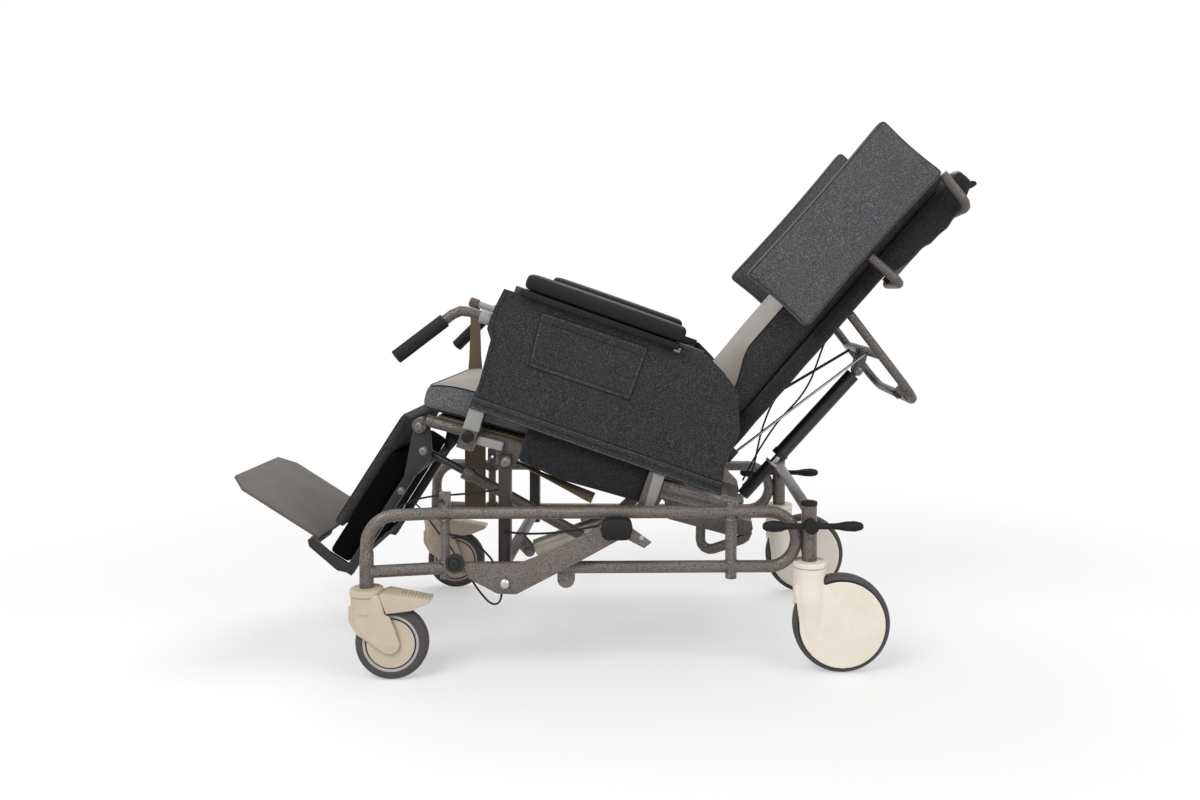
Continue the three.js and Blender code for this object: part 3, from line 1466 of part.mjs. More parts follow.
for (const side of [LEFT, RIGHT]) {
  const y = side * headPadHalfWidth;
  addPiece(backGroup, `head_pad_${sideName(side)}`, padBetween(
    [headPadFront, y - headPadThickness / 2, headPadLow],
    [headPadRear, y + headPadThickness / 2, headPadHigh],
    standing,
    { crown: headPadCrown, shoulderShare: 0.6, flatBottom: false, columns: 12, rows: 8 },
  ), finishes.charcoalCloth);
  const hook = (rise, drop) => tube(
    [
      [headPadRear + headHookGap, y, rise + drop / 2],
      [headHookReach, y, rise],
      [headHookReach - drop / 4, side * headHookInset, rise - drop],
    ],
    headHookRadius,
    headHookBend,
  );
  const joinX = headHookReach - headHookRadius / 2;
  const clampLow = (headHookLow + headHookHigh) / 2 - headHookBend;
  addPiece(backGroup, `head_pad_bracket_${sideName(side)}`, weld(
    hook(headHookHigh, headHookDrop),
    hook(headHookLow, 0),
    bar([joinX, side * headHookInset, headHookLow], [joinX, side * headHookInset, headHookHigh - headHookDrop], headHookRadius),
    block(
      [backPanFront + backPanThickness + seatGap, side * headHookInset - headHookRadius, clampLow],
      [joinX, side * headHookInset + headHookRadius, clampLow + headHookBend * 2],
    ),
  ), finishes.framePaint);
}

// Push bar

const pushRootX = backTubeX + frameTubeRadius + pushRootGap;
const leverPivotX = pushBarEndX - pushBarRadius * 3;

function pushBar() {
  const bow = tube(
    [
      [pushRootX, -pushBarHalfWidth, pushBarRootRise],
      [pushBarEndX, -pushBarHalfWidth, pushBarEndRise],
      [pushBarEndX, pushBarHalfWidth, pushBarEndRise],
      [pushRootX, pushBarHalfWidth, pushBarRootRise],
    ],
    pushBarRadius,
    pushBarBendRadius,
  );
  const leverPin = pushBarRadius * 0.4;
  return weld(
    bow,
    cross(pushBarMidX, pushBarMidRise, pushBarHalfWidth, pushBarRadius),
    ...clevisPair(reclineHighPinX, reclineHighPinRise, pushBarMidX, pushBarMidRise, 0),
    block(
      [leverPivotX - pushBarRadius, releaseLeverY - pushBarRadius, pushBarEndRise - pushBarRadius],
      [pushBarEndX, releaseLeverY + pushBarRadius, pushBarEndRise + plateThickness],
    ),
    bar([leverPivotX, releaseLeverY, pushBarEndRise], [leverPivotX, releaseLeverY, leverHeadLow], leverPin),
    bar([leverPivotX, releaseLeverY, leverHeadLow], [leverPivotX, releaseLeverY, leverHeadLow - plateThickness / 2],
      leverPin * 2),
  );
}

const leverHigh = pushBarEndRise - pushBarRadius - seatGap;
const leverLow = leverHigh - plateThickness;
const leverHeadLow = leverLow - seatGap;
addPiece(backGroup, 'push_bar', pushBar(), finishes.framePaint);

const leverHalf = pushBarRadius * 0.9;
addPiece(backGroup, 'recline_lever', cut(
  block(
    [leverPivotX - leverHalf, releaseLeverY - leverHalf, leverLow],
    [leverPivotX + leverHalf, releaseLeverY + releaseLeverLength, leverHigh],
  ),
  bar([leverPivotX, releaseLeverY, leverLow - cutOverrun], [leverPivotX, releaseLeverY, leverHigh + cutOverrun],
    boreRadius(pushBarRadius * 0.4, tubeSides)),
), finishes.blackSteel);

// Recline cylinder: the rod is pinned to the seat and the body above slides on it

const [reclineTopX, reclineTopZ] = outward(
  reclineHighPinX, reclineHighPinRise, reclinePivotX, reclinePivotRise, backAngle,
);
const reclineSpan = spanBetween(reclineLowPinX, reclineLowPinRise, reclineTopX, reclineTopZ);
const reclineBodyLow = reclineSpan - reclineBodyStart - reclineBodyLength;
const reclineRod = cylinderRod(
  reclineSpan - reclineBodyLow - reclineRodOverlap, reclineSpan, reclineRodRadius, { hole: true },
);
const reclineBody = cylinderBody(reclineBodyStart, reclineBodyLength, reclineBodyRadius, reclineRodRadius, {
  hole: false, collar: reclineBodyStart,
});
addPiece(seatGroup, 'recline_cylinder',
  aimed(reclineBody, 0, reclineTopX, reclineTopZ, reclineLowPinX, reclineLowPinRise), finishes.blackSteel);
addPiece(seatGroup, 'recline_rod',
  aimed(reclineRod, 0, reclineTopX, reclineTopZ, reclineLowPinX, reclineLowPinRise), finishes.chrome);

// Legrest

const legRailFront = legRailX - legRailWidth / 2;

function legSide(side) {
  const inner = side * legPlateInner;
  const outer = side * legPlateOuter;
  const railInner = legRailHalfWidth - legRailWidth / 2;
  const railOuter = legRailHalfWidth + legRailWidth / 2;
  const hinge = disc(0, 0, kneeLugRadius, inner, outer);
  const web = plate(outlineOf([
    [-kneeLugRadius, 0],
    [kneeLugRadius, kneeLugRadius / 2],
    [legRailX + legRailWidth, legStrutPinDrop],
    [legRailX + legRailWidth / 2, legRailTop - legPlateLap],
    [legRailFront, legRailTop - legPlateLap],
  ]), inner, outer);
  const rail = block(
    [legRailFront, Math.min(side * railInner, side * railOuter), legRailBottom],
    [legRailX + legRailWidth / 2, Math.max(side * railInner, side * railOuter), legRailTop],
  );
  const footArm = plate(outlineOf([
    [legRailFront, calfBaseBottom - seatGap * 4],
    [legRailX + legRailWidth / 2, calfBaseBottom],
    [legRailX + legRailWidth / 2, legRailBottom],
    [legRailFront / 2, legRailBottom - footHingeRadius * 2],
    [footHingeX, footHingeDrop - footHingeRadius * 1.8],
    [footHingeX - footHingeRadius * 1.8, footHingeDrop],
    [footHingeX, footHingeDrop + footHingeRadius * 1.8],
    [calfPadFront / 2, calfBaseBottom - seatGap * 4],
  ]), side * railInner, side * (railInner + footArmThickness));
  return [
    cut(weld(hinge, web), bar([0, inner - side * cutOverrun, 0], [0, outer + side * cutOverrun, 0],
      boreRadius(pivotPinRadius, tubeSides))),
    rail,
    footArm,
  ];
}

const legrestFrame = weld(
  ...legSide(LEFT),
  ...legSide(RIGHT),
  cross(legRailX, legRailTop - legPlateLap, legRailHalfWidth, legRailWidth * 0.4),
  cross(legRailX, calfBaseBottom + legRailWidth, legRailHalfWidth, legRailWidth * 0.4),
  cross(footHingeX, footHingeDrop, legRailHalfWidth - legRailWidth / 2 + weldDepth, footHingeRadius),
);
addPiece(legGroup, 'legrest_frame', legrestFrame, finishes.framePaint);

const calfBaseFront = calfPadFront + calfPadThickness + seatGap;
addPiece(legGroup, 'calf_pad_base', plate(outlineOf([
  [calfBaseFront, calfBaseBottom],
  [legRailFront - seatGap, calfBaseBottom],
  [legRailFront - seatGap, calfBaseTop],
  [calfBaseFront, calfBaseTop],
]), -calfHalfWidth, calfHalfWidth, sidePanelBevel), finishes.blackVinyl);
addPiece(legGroup, 'calf_pad', padBetween(
  [calfPadFront, -calfHalfWidth, calfPadBottom],
  [calfPadFront + calfPadThickness, calfHalfWidth, calfPadTop],
  facingFront,
  { crown: 3, drawIn: 2, shoulderShare: 0.5, columns: 12, rows: 10 },
), finishes.charcoalCloth);

function footplate() {
  const rear = footHingeX + footHingeRadius;
  const inner = footPlateFront + footPlateCorner;
  const half = footPlateHalfWidth;
  const low = footPlateTop - footPlateThickness;
  const shape = new THREE.Shape([
    new THREE.Vector2(footPlateFront, -half + footPlateCorner),
    new THREE.Vector2(inner, -half),
    new THREE.Vector2(rear, -half),
    new THREE.Vector2(rear, half),
    new THREE.Vector2(inner, half),
    new THREE.Vector2(footPlateFront, half - footPlateCorner),
  ]);
  const slab = new THREE.ExtrudeGeometry(shape, { depth: footPlateThickness, bevelEnabled: false }).translate(0, 0, low);
  const barrel = (side) => bar(
    [footHingeX, side * half * 0.45, footHingeDrop],
    [footHingeX, side * half, footHingeDrop],
    footHingeRadius * 1.9,
  );
  const bore = bar([footHingeX, -half - cutOverrun, footHingeDrop], [footHingeX, half + cutOverrun, footHingeDrop],
    boreRadius(footHingeRadius, tubeSides));
  return cut(weld(slab, barrel(LEFT), barrel(RIGHT)), bore);
}

addPiece(legGroup, 'footplate', footplate(), finishes.footplateGrey);

// Leg strut

const [strutFrontX, strutFrontZ] = outward(legStrutPinX, legStrutPinDrop, kneePivotX, kneePivotRise, legAngle);
const strutSpan = spanBetween(strutRearX, strutRearRise, strutFrontX, strutFrontZ);
const strutEnd = strutTubeStart + strutTubeLength;
const strutTube = cut(
  weld(
    cylinderBody(strutTubeStart, strutTubeLength, strutTubeRadius, strutRodRadius, { hole: true }),
    bar([strutEnd - strutKnobLength, 0, 0], [strutEnd, 0, 0], strutKnobRadius, discSides),
  ),
  bar([strutTubeStart + cylinderBoreFloor, 0, 0], [strutEnd + cutOverrun, 0, 0], boreRadius(strutRodRadius, tubeSides)),
);
const strutRod = cylinderRod(strutEnd - strutRodOverlap, strutSpan, strutRodRadius);
const strutLine = [LEFT * strutHalfWidth, strutRearX, strutRearRise, strutFrontX, strutFrontZ];
addPiece(seatGroup, 'leg_strut_tube', aimed(strutTube, ...strutLine), finishes.framePaint);
addPiece(seatGroup, 'leg_strut_rod', aimed(strutRod, ...strutLine), finishes.chrome);

export default wheelchair;
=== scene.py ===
"""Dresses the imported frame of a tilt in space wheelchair: finishes, cushions, straps, cables and small hardware."""

import json
import logging
import math
from contextlib import contextmanager
from dataclasses import dataclass, field
from enum import Enum
from typing import Callable, Iterable, Iterator, Sequence

import bpy
from mathutils import Matrix, Vector, noise
from mathutils.bvhtree import BVHTree
from mathutils.kdtree import KDTree

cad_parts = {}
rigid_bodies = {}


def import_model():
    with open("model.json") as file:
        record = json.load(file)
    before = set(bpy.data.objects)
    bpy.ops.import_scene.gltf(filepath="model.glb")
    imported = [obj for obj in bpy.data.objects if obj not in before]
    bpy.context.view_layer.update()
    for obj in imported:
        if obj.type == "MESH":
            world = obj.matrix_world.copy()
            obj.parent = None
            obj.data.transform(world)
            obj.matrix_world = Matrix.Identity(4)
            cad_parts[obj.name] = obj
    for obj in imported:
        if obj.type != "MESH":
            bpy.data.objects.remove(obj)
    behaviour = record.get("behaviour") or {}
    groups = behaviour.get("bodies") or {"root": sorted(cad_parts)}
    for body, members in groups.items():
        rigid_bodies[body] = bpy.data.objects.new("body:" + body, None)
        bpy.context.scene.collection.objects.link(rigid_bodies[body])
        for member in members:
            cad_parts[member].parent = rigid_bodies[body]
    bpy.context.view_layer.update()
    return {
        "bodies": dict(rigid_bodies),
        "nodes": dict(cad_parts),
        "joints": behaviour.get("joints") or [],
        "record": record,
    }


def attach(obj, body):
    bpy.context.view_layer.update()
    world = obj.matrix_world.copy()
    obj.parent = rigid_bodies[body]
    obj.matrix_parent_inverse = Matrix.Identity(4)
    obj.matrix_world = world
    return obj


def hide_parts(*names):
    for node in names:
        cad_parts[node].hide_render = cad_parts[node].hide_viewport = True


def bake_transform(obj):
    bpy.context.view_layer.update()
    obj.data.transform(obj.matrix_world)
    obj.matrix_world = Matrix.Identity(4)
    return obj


LOG = logging.getLogger("wheelchair")
MM = 0.001
Point = tuple[float, float, float]
Outline = Sequence[tuple[float, float]]
AHEAD, ACROSS, UP = Vector((1, 0, 0)), Vector((0, 1, 0)), Vector((0, 0, 1))
WHITE = (1.0, 1.0, 1.0)


# Shader sums and nodes


class Value:
    """A number that a shader works out, so that sums on it read like plain ones."""

    def __init__(self, tree: "Tree", socket: bpy.types.NodeSocket) -> None:
        """Wraps a socket.

        Args:
            tree: the shader that the socket belongs to.
            socket: the output that carries the number.
        """
        self.tree, self.socket = tree, socket

    def _sum(self, operation: str, first: object, second: object) -> "Value":
        """Adds one Math node.

        Args:
            operation: the node's operation.
            first: its first value or link.
            second: its second value or link.

        Returns:
            The node's result.
        """
        return self.tree.node("Math", {"operation": operation}, {0: first, 1: second})["Value"]

    def __add__(self, other: object) -> "Value":
        """Returns the sum with another value."""
        return self._sum("ADD", self, other)

    __radd__ = __add__

    def __mul__(self, other: object) -> "Value":
        """Returns the product with another value."""
        return self._sum("MULTIPLY", self, other)

    __rmul__ = __mul__

    def __sub__(self, other: object) -> "Value":
        """Returns this value less another."""
        return self._sum("SUBTRACT", self, other)

    def __rsub__(self, other: object) -> "Value":
        """Returns another value less this one."""
        return self._sum("SUBTRACT", other, self)

    def above(self, limit: float, soft: float) -> "Value":
        """Rises from 0 to 1 around a limit.

        Args:
            limit: where the step lies.
            soft: how wide the step is.

        Returns:
            The step.
        """
        sockets = {"Value": self, "From Min": limit - soft / 2, "From Max": limit + soft / 2}
        return self.tree.node("MapRange", {"clamp": True}, sockets)["Result"]


class Tree:
    """The nodes of one material or world, made by short calls."""

    def __init__(self, owner: bpy.types.Material | bpy.types.World) -> None:
        """Opens the nodes.

        Args:
            owner: the material or the world.
        """
        owner.use_nodes = True
        self.nodes, self.links = owner.node_tree.nodes, owner.node_tree.links
        self.shader = next(n for n in self.nodes if n.type in ("BSDF_PRINCIPLED", "BACKGROUND"))
        self.output = next(n for n in self.nodes if n.type.startswith("OUTPUT"))

    def put(self, socket: bpy.types.NodeSocket, value: object) -> None:
        """Sets or links one input.

        Args:
            socket: the input.
            value: a number, a colour, a Value or a socket.
        """
        if isinstance(value, Value):
            self.links.new(value.socket, socket)
        elif isinstance(value, bpy.types.NodeSocket):
            self.links.new(value, socket)
        elif isinstance(value, (tuple, list, Vector)) and len(value) == 3 and socket.type == "RGBA":
            socket.default_value = (*value, 1.0)
        else:
            socket.default_value = value

    def node(self, kind: str, settings: dict[str, object], sockets: dict[object, object]) -> "Outputs":
        """Adds one node.

        Args:
            kind: the node's type without its ShaderNode prefix.
            settings: what is set on the node first.
            sockets: values or links for its inputs, by name or number.

        Returns:
            The node's outputs.
        """
        made = self.nodes.new("ShaderNode" + kind)
        for name, value in settings.items():
            setattr(made, name, value)
        for key, value in sockets.items():
            self.put(made.inputs[key], value)
        return Outputs(self, made)

    def place(self, stretch: Point = (1.0, 1.0, 1.0)) -> bpy.types.NodeSocket:
        """The surface's own place, in metres.

        Args:
            stretch: how much denser the pattern is along each direction.

        Returns:
            The place as a vector.
        """
        spot = self.node("TexCoord", {}, {})["Object"]
        return self.node("Mapping", {"vector_type": "POINT"}, {"Vector": spot, "Scale": stretch})["Vector"]

    def seen(self) -> Value:
        """Returns 1 where the camera or a glossy ray looks straight at the surface, and 0 elsewhere."""
        path = self.node("LightPath", {}, {})
        rays = {0: path["Is Camera Ray"], 1: path["Is Glossy Ray"]}
        return self.node("Math", {"operation": "MAXIMUM"}, rays)["Value"]

    def noise(self, spot: bpy.types.NodeSocket, scale: float, detail: float = 2.0, rough: float = 0.5) -> Value:
        """Soft random value from 0 to 1.

        Args:
            spot: where on the surface.
            scale: how dense it is, per metre.
            detail: how many finer layers it has.
            rough: how strong those are.

        Returns:
            The value.
        """
        sockets = {"Vector": spot, "Scale": scale, "Detail": detail, "Roughness": rough}
        return self.node("TexNoise", {"noise_dimensions": "3D"}, sockets)["Fac"]

    def cells(self, spot: bpy.types.NodeSocket, scale: float, feature: str = "F1") -> Value:
        """Distance within a field of random cells.

        Args:
            spot: where on the surface.
            scale: how dense the cells are, per metre.
            feature: which distance is read.

        Returns:
            The distance.
        """
        return self.node("TexVoronoi", {"feature": feature}, {"Vector": spot, "Scale": scale})["Distance"]

    def blend(self, share: object, first: object, second: object) -> bpy.types.NodeSocket:
        """Mixes two colours.

        Args:
            share: how much of the second shows.
            first: the first colour.
            second: the second colour.

        Returns:
            The mixed colour.
        """
        made = self.nodes.new("ShaderNodeMix")
        made.data_type = "RGBA"
        self.put(made.inputs["Factor"], share)
        self.put(made.inputs[6], first)
        self.put(made.inputs[7], second)
        return made.outputs[2]

    def bump(self, height: Value, strength: float, depth: float) -> None:
        """Raises the surface by a height.

        Args:
            height: the height's value.
            strength: how much of it is used.
            depth: how tall 1 is, in metres.
        """
        sockets = {"Height": height, "Strength": strength, "Distance": depth}
        self.put(self.shader.inputs["Normal"], self.node("Bump", {}, sockets)["Normal"])

    def set(self, **values: object) -> None:
        """Sets the main shader's sockets; a name's underscores stand for blanks."""
        for name, value in values.items():
            self.put(self.shader.inputs[name.replace("_", " ")], value)


class Outputs:
    """A node's outputs, by name."""

    def __init__(self, tree: Tree, node: bpy.types.Node) -> None:
        """Keeps the node.

        Args:
            tree: its shader.
            node: the node.
        """
        self.tree, self.node = tree, node

    def __getitem__(self, name: str) -> object:
        """Returns an output as a Value, or as a socket where it is a vector or colour."""
        socket = self.node.outputs[name]
        return Value(self.tree, socket) if socket.type == "VALUE" else socket


def tone(red: int, green: int, blue: int) -> tuple[float, float, float]:
    """Turns a screen colour into the light values that shaders use.

    Args:
        red: from 0 to 255.
        green: from 0 to 255.
        blue: from 0 to 255.

    Returns:
        The colour in linear light.
    """

    def linear(level: int) -> float:
        """Returns one level in linear light."""
        share = level / 255
        return share / 12.92 if share <= 0.04045 else ((share + 0.055) / 1.055) ** 2.4

    return linear(red), linear(green), linear(blue)


# Finishes


@dataclass(frozen=True)
class Finish:
    """A finish that a piece can take; each kind fills in its own nodes."""

    slot: str

    def paint(self, tree: Tree) -> None:
        """Fills in the material's nodes.

        Args:
            tree: the material that is being made.
        """
        raise NotImplementedError


@dataclass(frozen=True)
class HammeredPaint(Finish):
    """Bronze-grey hammered stove enamel: a net of shallow dimples with bright and dark specks."""

    dark: Point = tone(70, 65, 62)
    light: Point = tone(142, 134, 128)
    dimple: float = 300.0

    def paint(self, tree: Tree) -> None:
        """Fills in the hammered enamel.

        Args:
            tree: the material that is being made.
        """
        spot = tree.place()
        ripple = tree.noise(spot, 160, 3, 0.6)
        moved = tree.node("VectorMath", {"operation": "ADD"}, {0: spot, 1: tree.node(
            "VectorMath", {"operation": "SCALE"}, {0: tree.node(
                "TexNoise", {}, {"Vector": spot, "Scale": 300.0})["Color"], "Scale": 0.003})["Vector"]})["Vector"]
        net = tree.cells(moved, self.dimple, "DISTANCE_TO_EDGE")
        pits = tree.cells(moved, self.dimple)
        ridge = net.above(0.07, 0.14)
        wear = tree.noise(spot, 9, 4, 0.6).above(0.56, 0.3)
        base = tree.blend(ridge * 0.75, self.dark, self.light)
        base = tree.blend(wear * 0.25, base, tone(98, 90, 85))
        base = tree.blend((pits.above(0.55, 0.25)) * 0.35, base, tone(44, 41, 40))
        tree.set(Base_Color=base, Metallic=0.55, Roughness=0.26 + ripple * 0.22, Specular_IOR_Level=0.6)
        tree.bump(ridge * 0.6 + ripple * 0.5, 0.8, 0.0009)


@dataclass(frozen=True)
class Metal(Finish):
    """Bare or plated metal with fine drawn lines and a little tarnish."""

    colour: Point = tone(200, 200, 202)
    rough: float = 0.2
    tarnish: float = 0.2

    def paint(self, tree: Tree) -> None:
        """Fills in the metal.

        Args:
            tree: the material that is being made.
        """
        spot = tree.place()
        cloud = tree.noise(spot, 60, 4, 0.6)
        lines = tree.noise(tree.place(stretch=(300.0, 12.0, 300.0)), 1.0, 2, 0.5)
        dull = tuple(c * 0.45 for c in self.colour)
        base = tree.blend(cloud.above(0.6, 0.35) * self.tarnish, self.colour, dull)
        tree.set(Base_Color=base, Metallic=1.0, Roughness=self.rough + cloud * 0.12 + lines * 0.06)
        tree.bump(lines, 0.08, 0.0002)


@dataclass(frozen=True)
class Enamel(Finish):
    """Smooth powder coat with a faint orange peel and rubbed places."""

    colour: Point = tone(30, 30, 31)
    rough: float = 0.42
    peel: float = 0.12
    worn: float = 0.2

    def paint(self, tree: Tree) -> None:
        """Fills in the powder coat.

        Args:
            tree: the material that is being made.
        """
        spot = tree.place()
        peel = tree.noise(spot, 700, 2, 0.5)
        cloud = tree.noise(spot, 14, 4, 0.6)
        lighter = tuple(min(1.0, c * 1.9 + 0.012) for c in self.colour)
        base = tree.blend(cloud.above(0.55, 0.3) * self.worn, self.colour, lighter)
        tree.set(Base_Color=base, Metallic=0.0, Roughness=self.rough + cloud * 0.15, Specular_IOR_Level=0.45)
        tree.bump(peel, self.peel, 0.0004)


@dataclass(frozen=True)
class Plastic(Finish):
    """Moulded plastic: a fine spark-eroded grain and slight yellowing."""

    colour: Point = tone(222, 212, 194)
    aged: Point = tone(196, 182, 158)
    rough: float = 0.45

    def paint(self, tree: Tree) -> None:
        """Fills in the plastic.

        Args:
            tree: the material that is being made.
        """
        spot = tree.place()
        grain = tree.noise(spot, 1500, 2, 0.5)
        cloud = tree.noise(spot, 18, 4, 0.55)
        scuff = tree.noise(tree.place(stretch=(4.0, 1.0, 1.0)), 45, 5, 0.7).above(0.66, 0.1)
        base = tree.blend(cloud.above(0.5, 0.5) * 0.55, self.colour, self.aged)
        base = tree.blend(scuff * 0.25, base, tuple(c * 0.6 for c in self.aged))
        tree.set(Base_Color=base, Roughness=self.rough + cloud * 0.12 + scuff * 0.15, Specular_IOR_Level=0.4)
        tree.bump(grain, 0.12, 0.0003)


@dataclass(frozen=True)
class Rubber(Finish):
    """Matt rubber or soft vinyl moulding with dust in its pores."""

    colour: Point = tone(28, 28, 29)
    dust: Point = tone(84, 82, 80)
    rough: float = 0.62
    grain: float = 900.0
    shine: float = 0.3

    def paint(self, tree: Tree) -> None:
        """Fills in the rubber.

        Args:
            tree: the material that is being made.
        """
        spot = tree.place()
        pores = tree.noise(spot, self.grain, 2, 0.5)
        cloud = tree.noise(spot, 22, 5, 0.65)
        base = tree.blend(cloud.above(0.58, 0.35) * 0.3, self.colour, self.dust)
        tree.set(Base_Color=base, Roughness=self.rough + cloud * 0.15 - 0.05, Specular_IOR_Level=self.shine)
        tree.bump(pores, 0.22, 0.0004)


@dataclass(frozen=True)
class Vinyl(Finish):
    """Upholstery vinyl: fine leather grain, soft sheen and a slight shading."""

    colour: Point = tone(150, 143, 137)
    shade: Point = tone(120, 113, 108)
    rough: float = 0.5
    grain: float = 520.0
    shine: float = 0.4

    def paint(self, tree: Tree) -> None:
        """Fills in the vinyl.

        Args:
            tree: the material that is being made.
        """
        spot = tree.place()
        creases = tree.cells(spot, self.grain, "DISTANCE_TO_EDGE").above(0.05, 0.1)
        pores = tree.noise(spot, self.grain * 3, 2, 0.6)
        cloud = tree.noise(spot, 9, 4, 0.6)
        base = tree.blend(cloud.above(0.5, 0.5) * 0.5, self.colour, self.shade)
        base = tree.blend((1 - creases) * 0.3, base, self.shade)
        tree.set(Base_Color=base, Roughness=self.rough + cloud * 0.12, Specular_IOR_Level=self.shine)
        tree.bump(creases * 0.7 + pores * 0.3, 0.28, 0.0004)


@dataclass(frozen=True)
class HeatherCloth(Finish):
    """Charcoal heather upholstery cloth: dark ground with paler curled fibres in a fine weave."""

    ground: Point = tone(33, 34, 36)
    fibre: Point = tone(92, 94, 97)
    warm: Point = tone(60, 57, 55)

    def weave(self, tree: Tree) -> tuple[bpy.types.NodeSocket, Value]:
        """Makes the cloth's colour and height.

        Args:
            tree: the material that is being made.

        Returns:
            The colour, and the height from 0 to 1.
        """
        spot = tree.place()
        curl = tree.node("TexNoise", {}, {"Vector": spot, "Scale": 230.0, "Detail": 2.0})["Color"]
        moved = tree.node("VectorMath", {"operation": "MULTIPLY_ADD"}, {
            0: curl, 1: (0.0055, 0.0055, 0.0055), 2: spot})["Vector"]
        fibres = tree.noise(moved, 400, 4, 0.75).above(0.55, 0.11)
        strands = tree.cells(moved, 440, "DISTANCE_TO_EDGE").above(0.06, 0.1)
        fine = tree.noise(spot, 1700, 2, 0.6)
        broad = tree.noise(spot, 7, 3, 0.6).above(0.5, 0.5)
        base = tree.blend(fibres * 0.78, self.ground, self.fibre)
        base = tree.blend((1 - strands) * 0.35, base, self.ground)
        base = tree.blend(broad * 0.22, base, self.warm)
        base = tree.blend(fine.above(0.6, 0.2) * 0.18, base, self.fibre)
        return base, fibres * 0.35 + strands * 0.3 + fine * 0.35

    def paint(self, tree: Tree) -> None:
        """Fills in the cloth.

        Args:
            tree: the material that is being made.
        """
        base, height = self.weave(tree)
        tree.set(Base_Color=base, Roughness=0.92, Specular_IOR_Level=0.2, Sheen_Weight=0.12)
        tree.bump(height, 0.5, 0.0009)


@dataclass(frozen=True)
class Webbing(Finish):
    """Woven strap or deck cloth: ribs across the strap and dark edges between threads."""

    colour: Point = tone(92, 84, 62)
    shade: Point = tone(58, 52, 38)
    ribs: float = 900.0
    along: Point = (0.0, 0.0, 1.0)

    def paint(self, tree: Tree) -> None:
        """Fills in the webbing.

        Args:
            tree: the material that is being made.
        """
        spot = tree.place()
        run = tree.node("VectorMath", {"operation": "DOT_PRODUCT"}, {0: spot, 1: self.along})["Value"]
        rib = tree.node("Math", {"operation": "SINE"}, {0: run * (self.ribs * 2)})["Value"] * 0.5 + 0.5
        threads = tree.noise(tree.place(stretch=(3.0, 3.0, 1.0)), 500, 3, 0.6)
        cloud = tree.noise(spot, 16, 3, 0.6)
        base = tree.blend(rib * 0.6 + threads * 0.25, self.shade, self.colour)
        base = tree.blend(cloud.above(0.55, 0.4) * 0.3, base, self.shade)
        tree.set(Base_Color=base, Roughness=0.88, Specular_IOR_Level=0.2)
        tree.bump(rib * 0.7 + threads * 0.3, 0.5, 0.0005)


class Kit(Enum):
    """Every finish of the chair, by what it is used for."""

    FRAME = HammeredPaint("frame_paint")
    FRAME_SHADE = HammeredPaint("frame_paint", tone(58, 54, 52), tone(116, 110, 105))
    # A lighter copy of the frame paint: a painted highlight for the seat rails' rear ends.
    FRAME_BRIGHT = HammeredPaint("frame_paint", tone(84, 80, 78), tone(176, 170, 166))
    # A darker copy of the frame paint: painted shade for the uprights, which stand in shade.
    FRAME_DARK = HammeredPaint("frame_paint", tone(27, 25, 24), tone(62, 56, 53))
    BRACKET = Enamel("bracket_grey", tone(132, 131, 129), 0.4, 0.15, 0.15)
    BLACK_STEEL = Enamel("black_steel", tone(20, 20, 21), 0.38, 0.15, 0.2)
    SILVER = Metal("silver", tone(176, 178, 182), 0.3, 0.3)
    WARM_SILVER = Metal("silver", tone(172, 165, 154), 0.38, 0.3)
    CHROME = Metal("chrome", tone(186, 186, 188), 0.16, 0.3)
    ZINC = Metal("silver", tone(126, 125, 123), 0.34, 0.45)
    RUBBER = Rubber("black_rubber", tone(16, 16, 17), tone(50, 48, 46), 0.6, 900.0, 0.25)
    TREAD = Rubber("grey_tread", tone(70, 66, 67), tone(98, 94, 92), 0.6, 700.0)
    HUB = Plastic("hub_grey", tone(150, 144, 134), tone(126, 118, 106))
    RIM = Plastic("hub_grey", tone(178, 174, 172), tone(156, 152, 150))
    BEIGE = Plastic("beige_plastic", tone(200, 186, 168), tone(176, 160, 138))
    IVORY = Plastic("ivory_plastic", tone(232, 226, 213), tone(212, 203, 184))
    BLACK_VINYL = Vinyl("black_vinyl", tone(17, 17, 18), tone(9, 9, 10), 0.48, 520.0, 0.22)
    FELT = Rubber("black_vinyl", tone(6, 6, 7), tone(15, 15, 15), 0.95, 1400.0, 0.05)
    CLOTH = HeatherCloth("charcoal_cloth", tone(26, 27, 28), tone(86, 87, 89))
    CLOTH_LIGHT = HeatherCloth("charcoal_cloth", tone(70, 72, 75), tone(150, 152, 155), tone(118, 110, 102))
    CLOTH_PALE = HeatherCloth("charcoal_cloth", tone(54, 56, 58), tone(126, 128, 131), tone(104, 96, 89))
    CLOTH_DEEP = HeatherCloth("charcoal_cloth", tone(19, 20, 22), tone(60, 62, 65), tone(40, 38, 37))
    OLIVE = Webbing("olive_webbing", tone(116, 106, 86), tone(78, 70, 55))
    TAUPE = Vinyl("black_vinyl")
    FOOTPLATE = Plastic("footplate_grey", tone(91, 85, 80), tone(74, 69, 65), 0.55)

    def material(self) -> bpy.types.Material:
        """Returns the finish's material, made the first time that it is asked for."""
        name = f"{self.value.slot}_{self.name.lower()}"
        known = bpy.data.materials.get(name)
        if known is None:
            known = bpy.data.materials.new(name)
            self.value.paint(Tree(known))
        return known


# Workshop


@dataclass(frozen=True)
class Bench:
    """A tilted bench: pieces are made on it lying straight and then moved to their place."""

    x: float = 0.0
    z: float = 0.0
    degrees: float = 0.0

    def matrix(self) -> Matrix:
        """Returns the move from the bench to the chair."""
        return Matrix.Translation((self.x, 0.0, self.z)) @ Matrix.Rotation(math.radians(self.degrees), 4, "Y")

    def spot(self, point: Vector) -> Vector:
        """Returns where a point of the chair, in metres, lies on the bench, in millimetres."""
        return self.matrix().inverted() @ point / MM


SEAT = Bench(-0.187, 0.4308, 15.2)
ARM = Bench(-0.187, 0.4308, 19.3)
BACK = Bench(0.23842, 0.38402, 41.3)
LEG = Bench(-0.37742, 0.50419, 32.5)


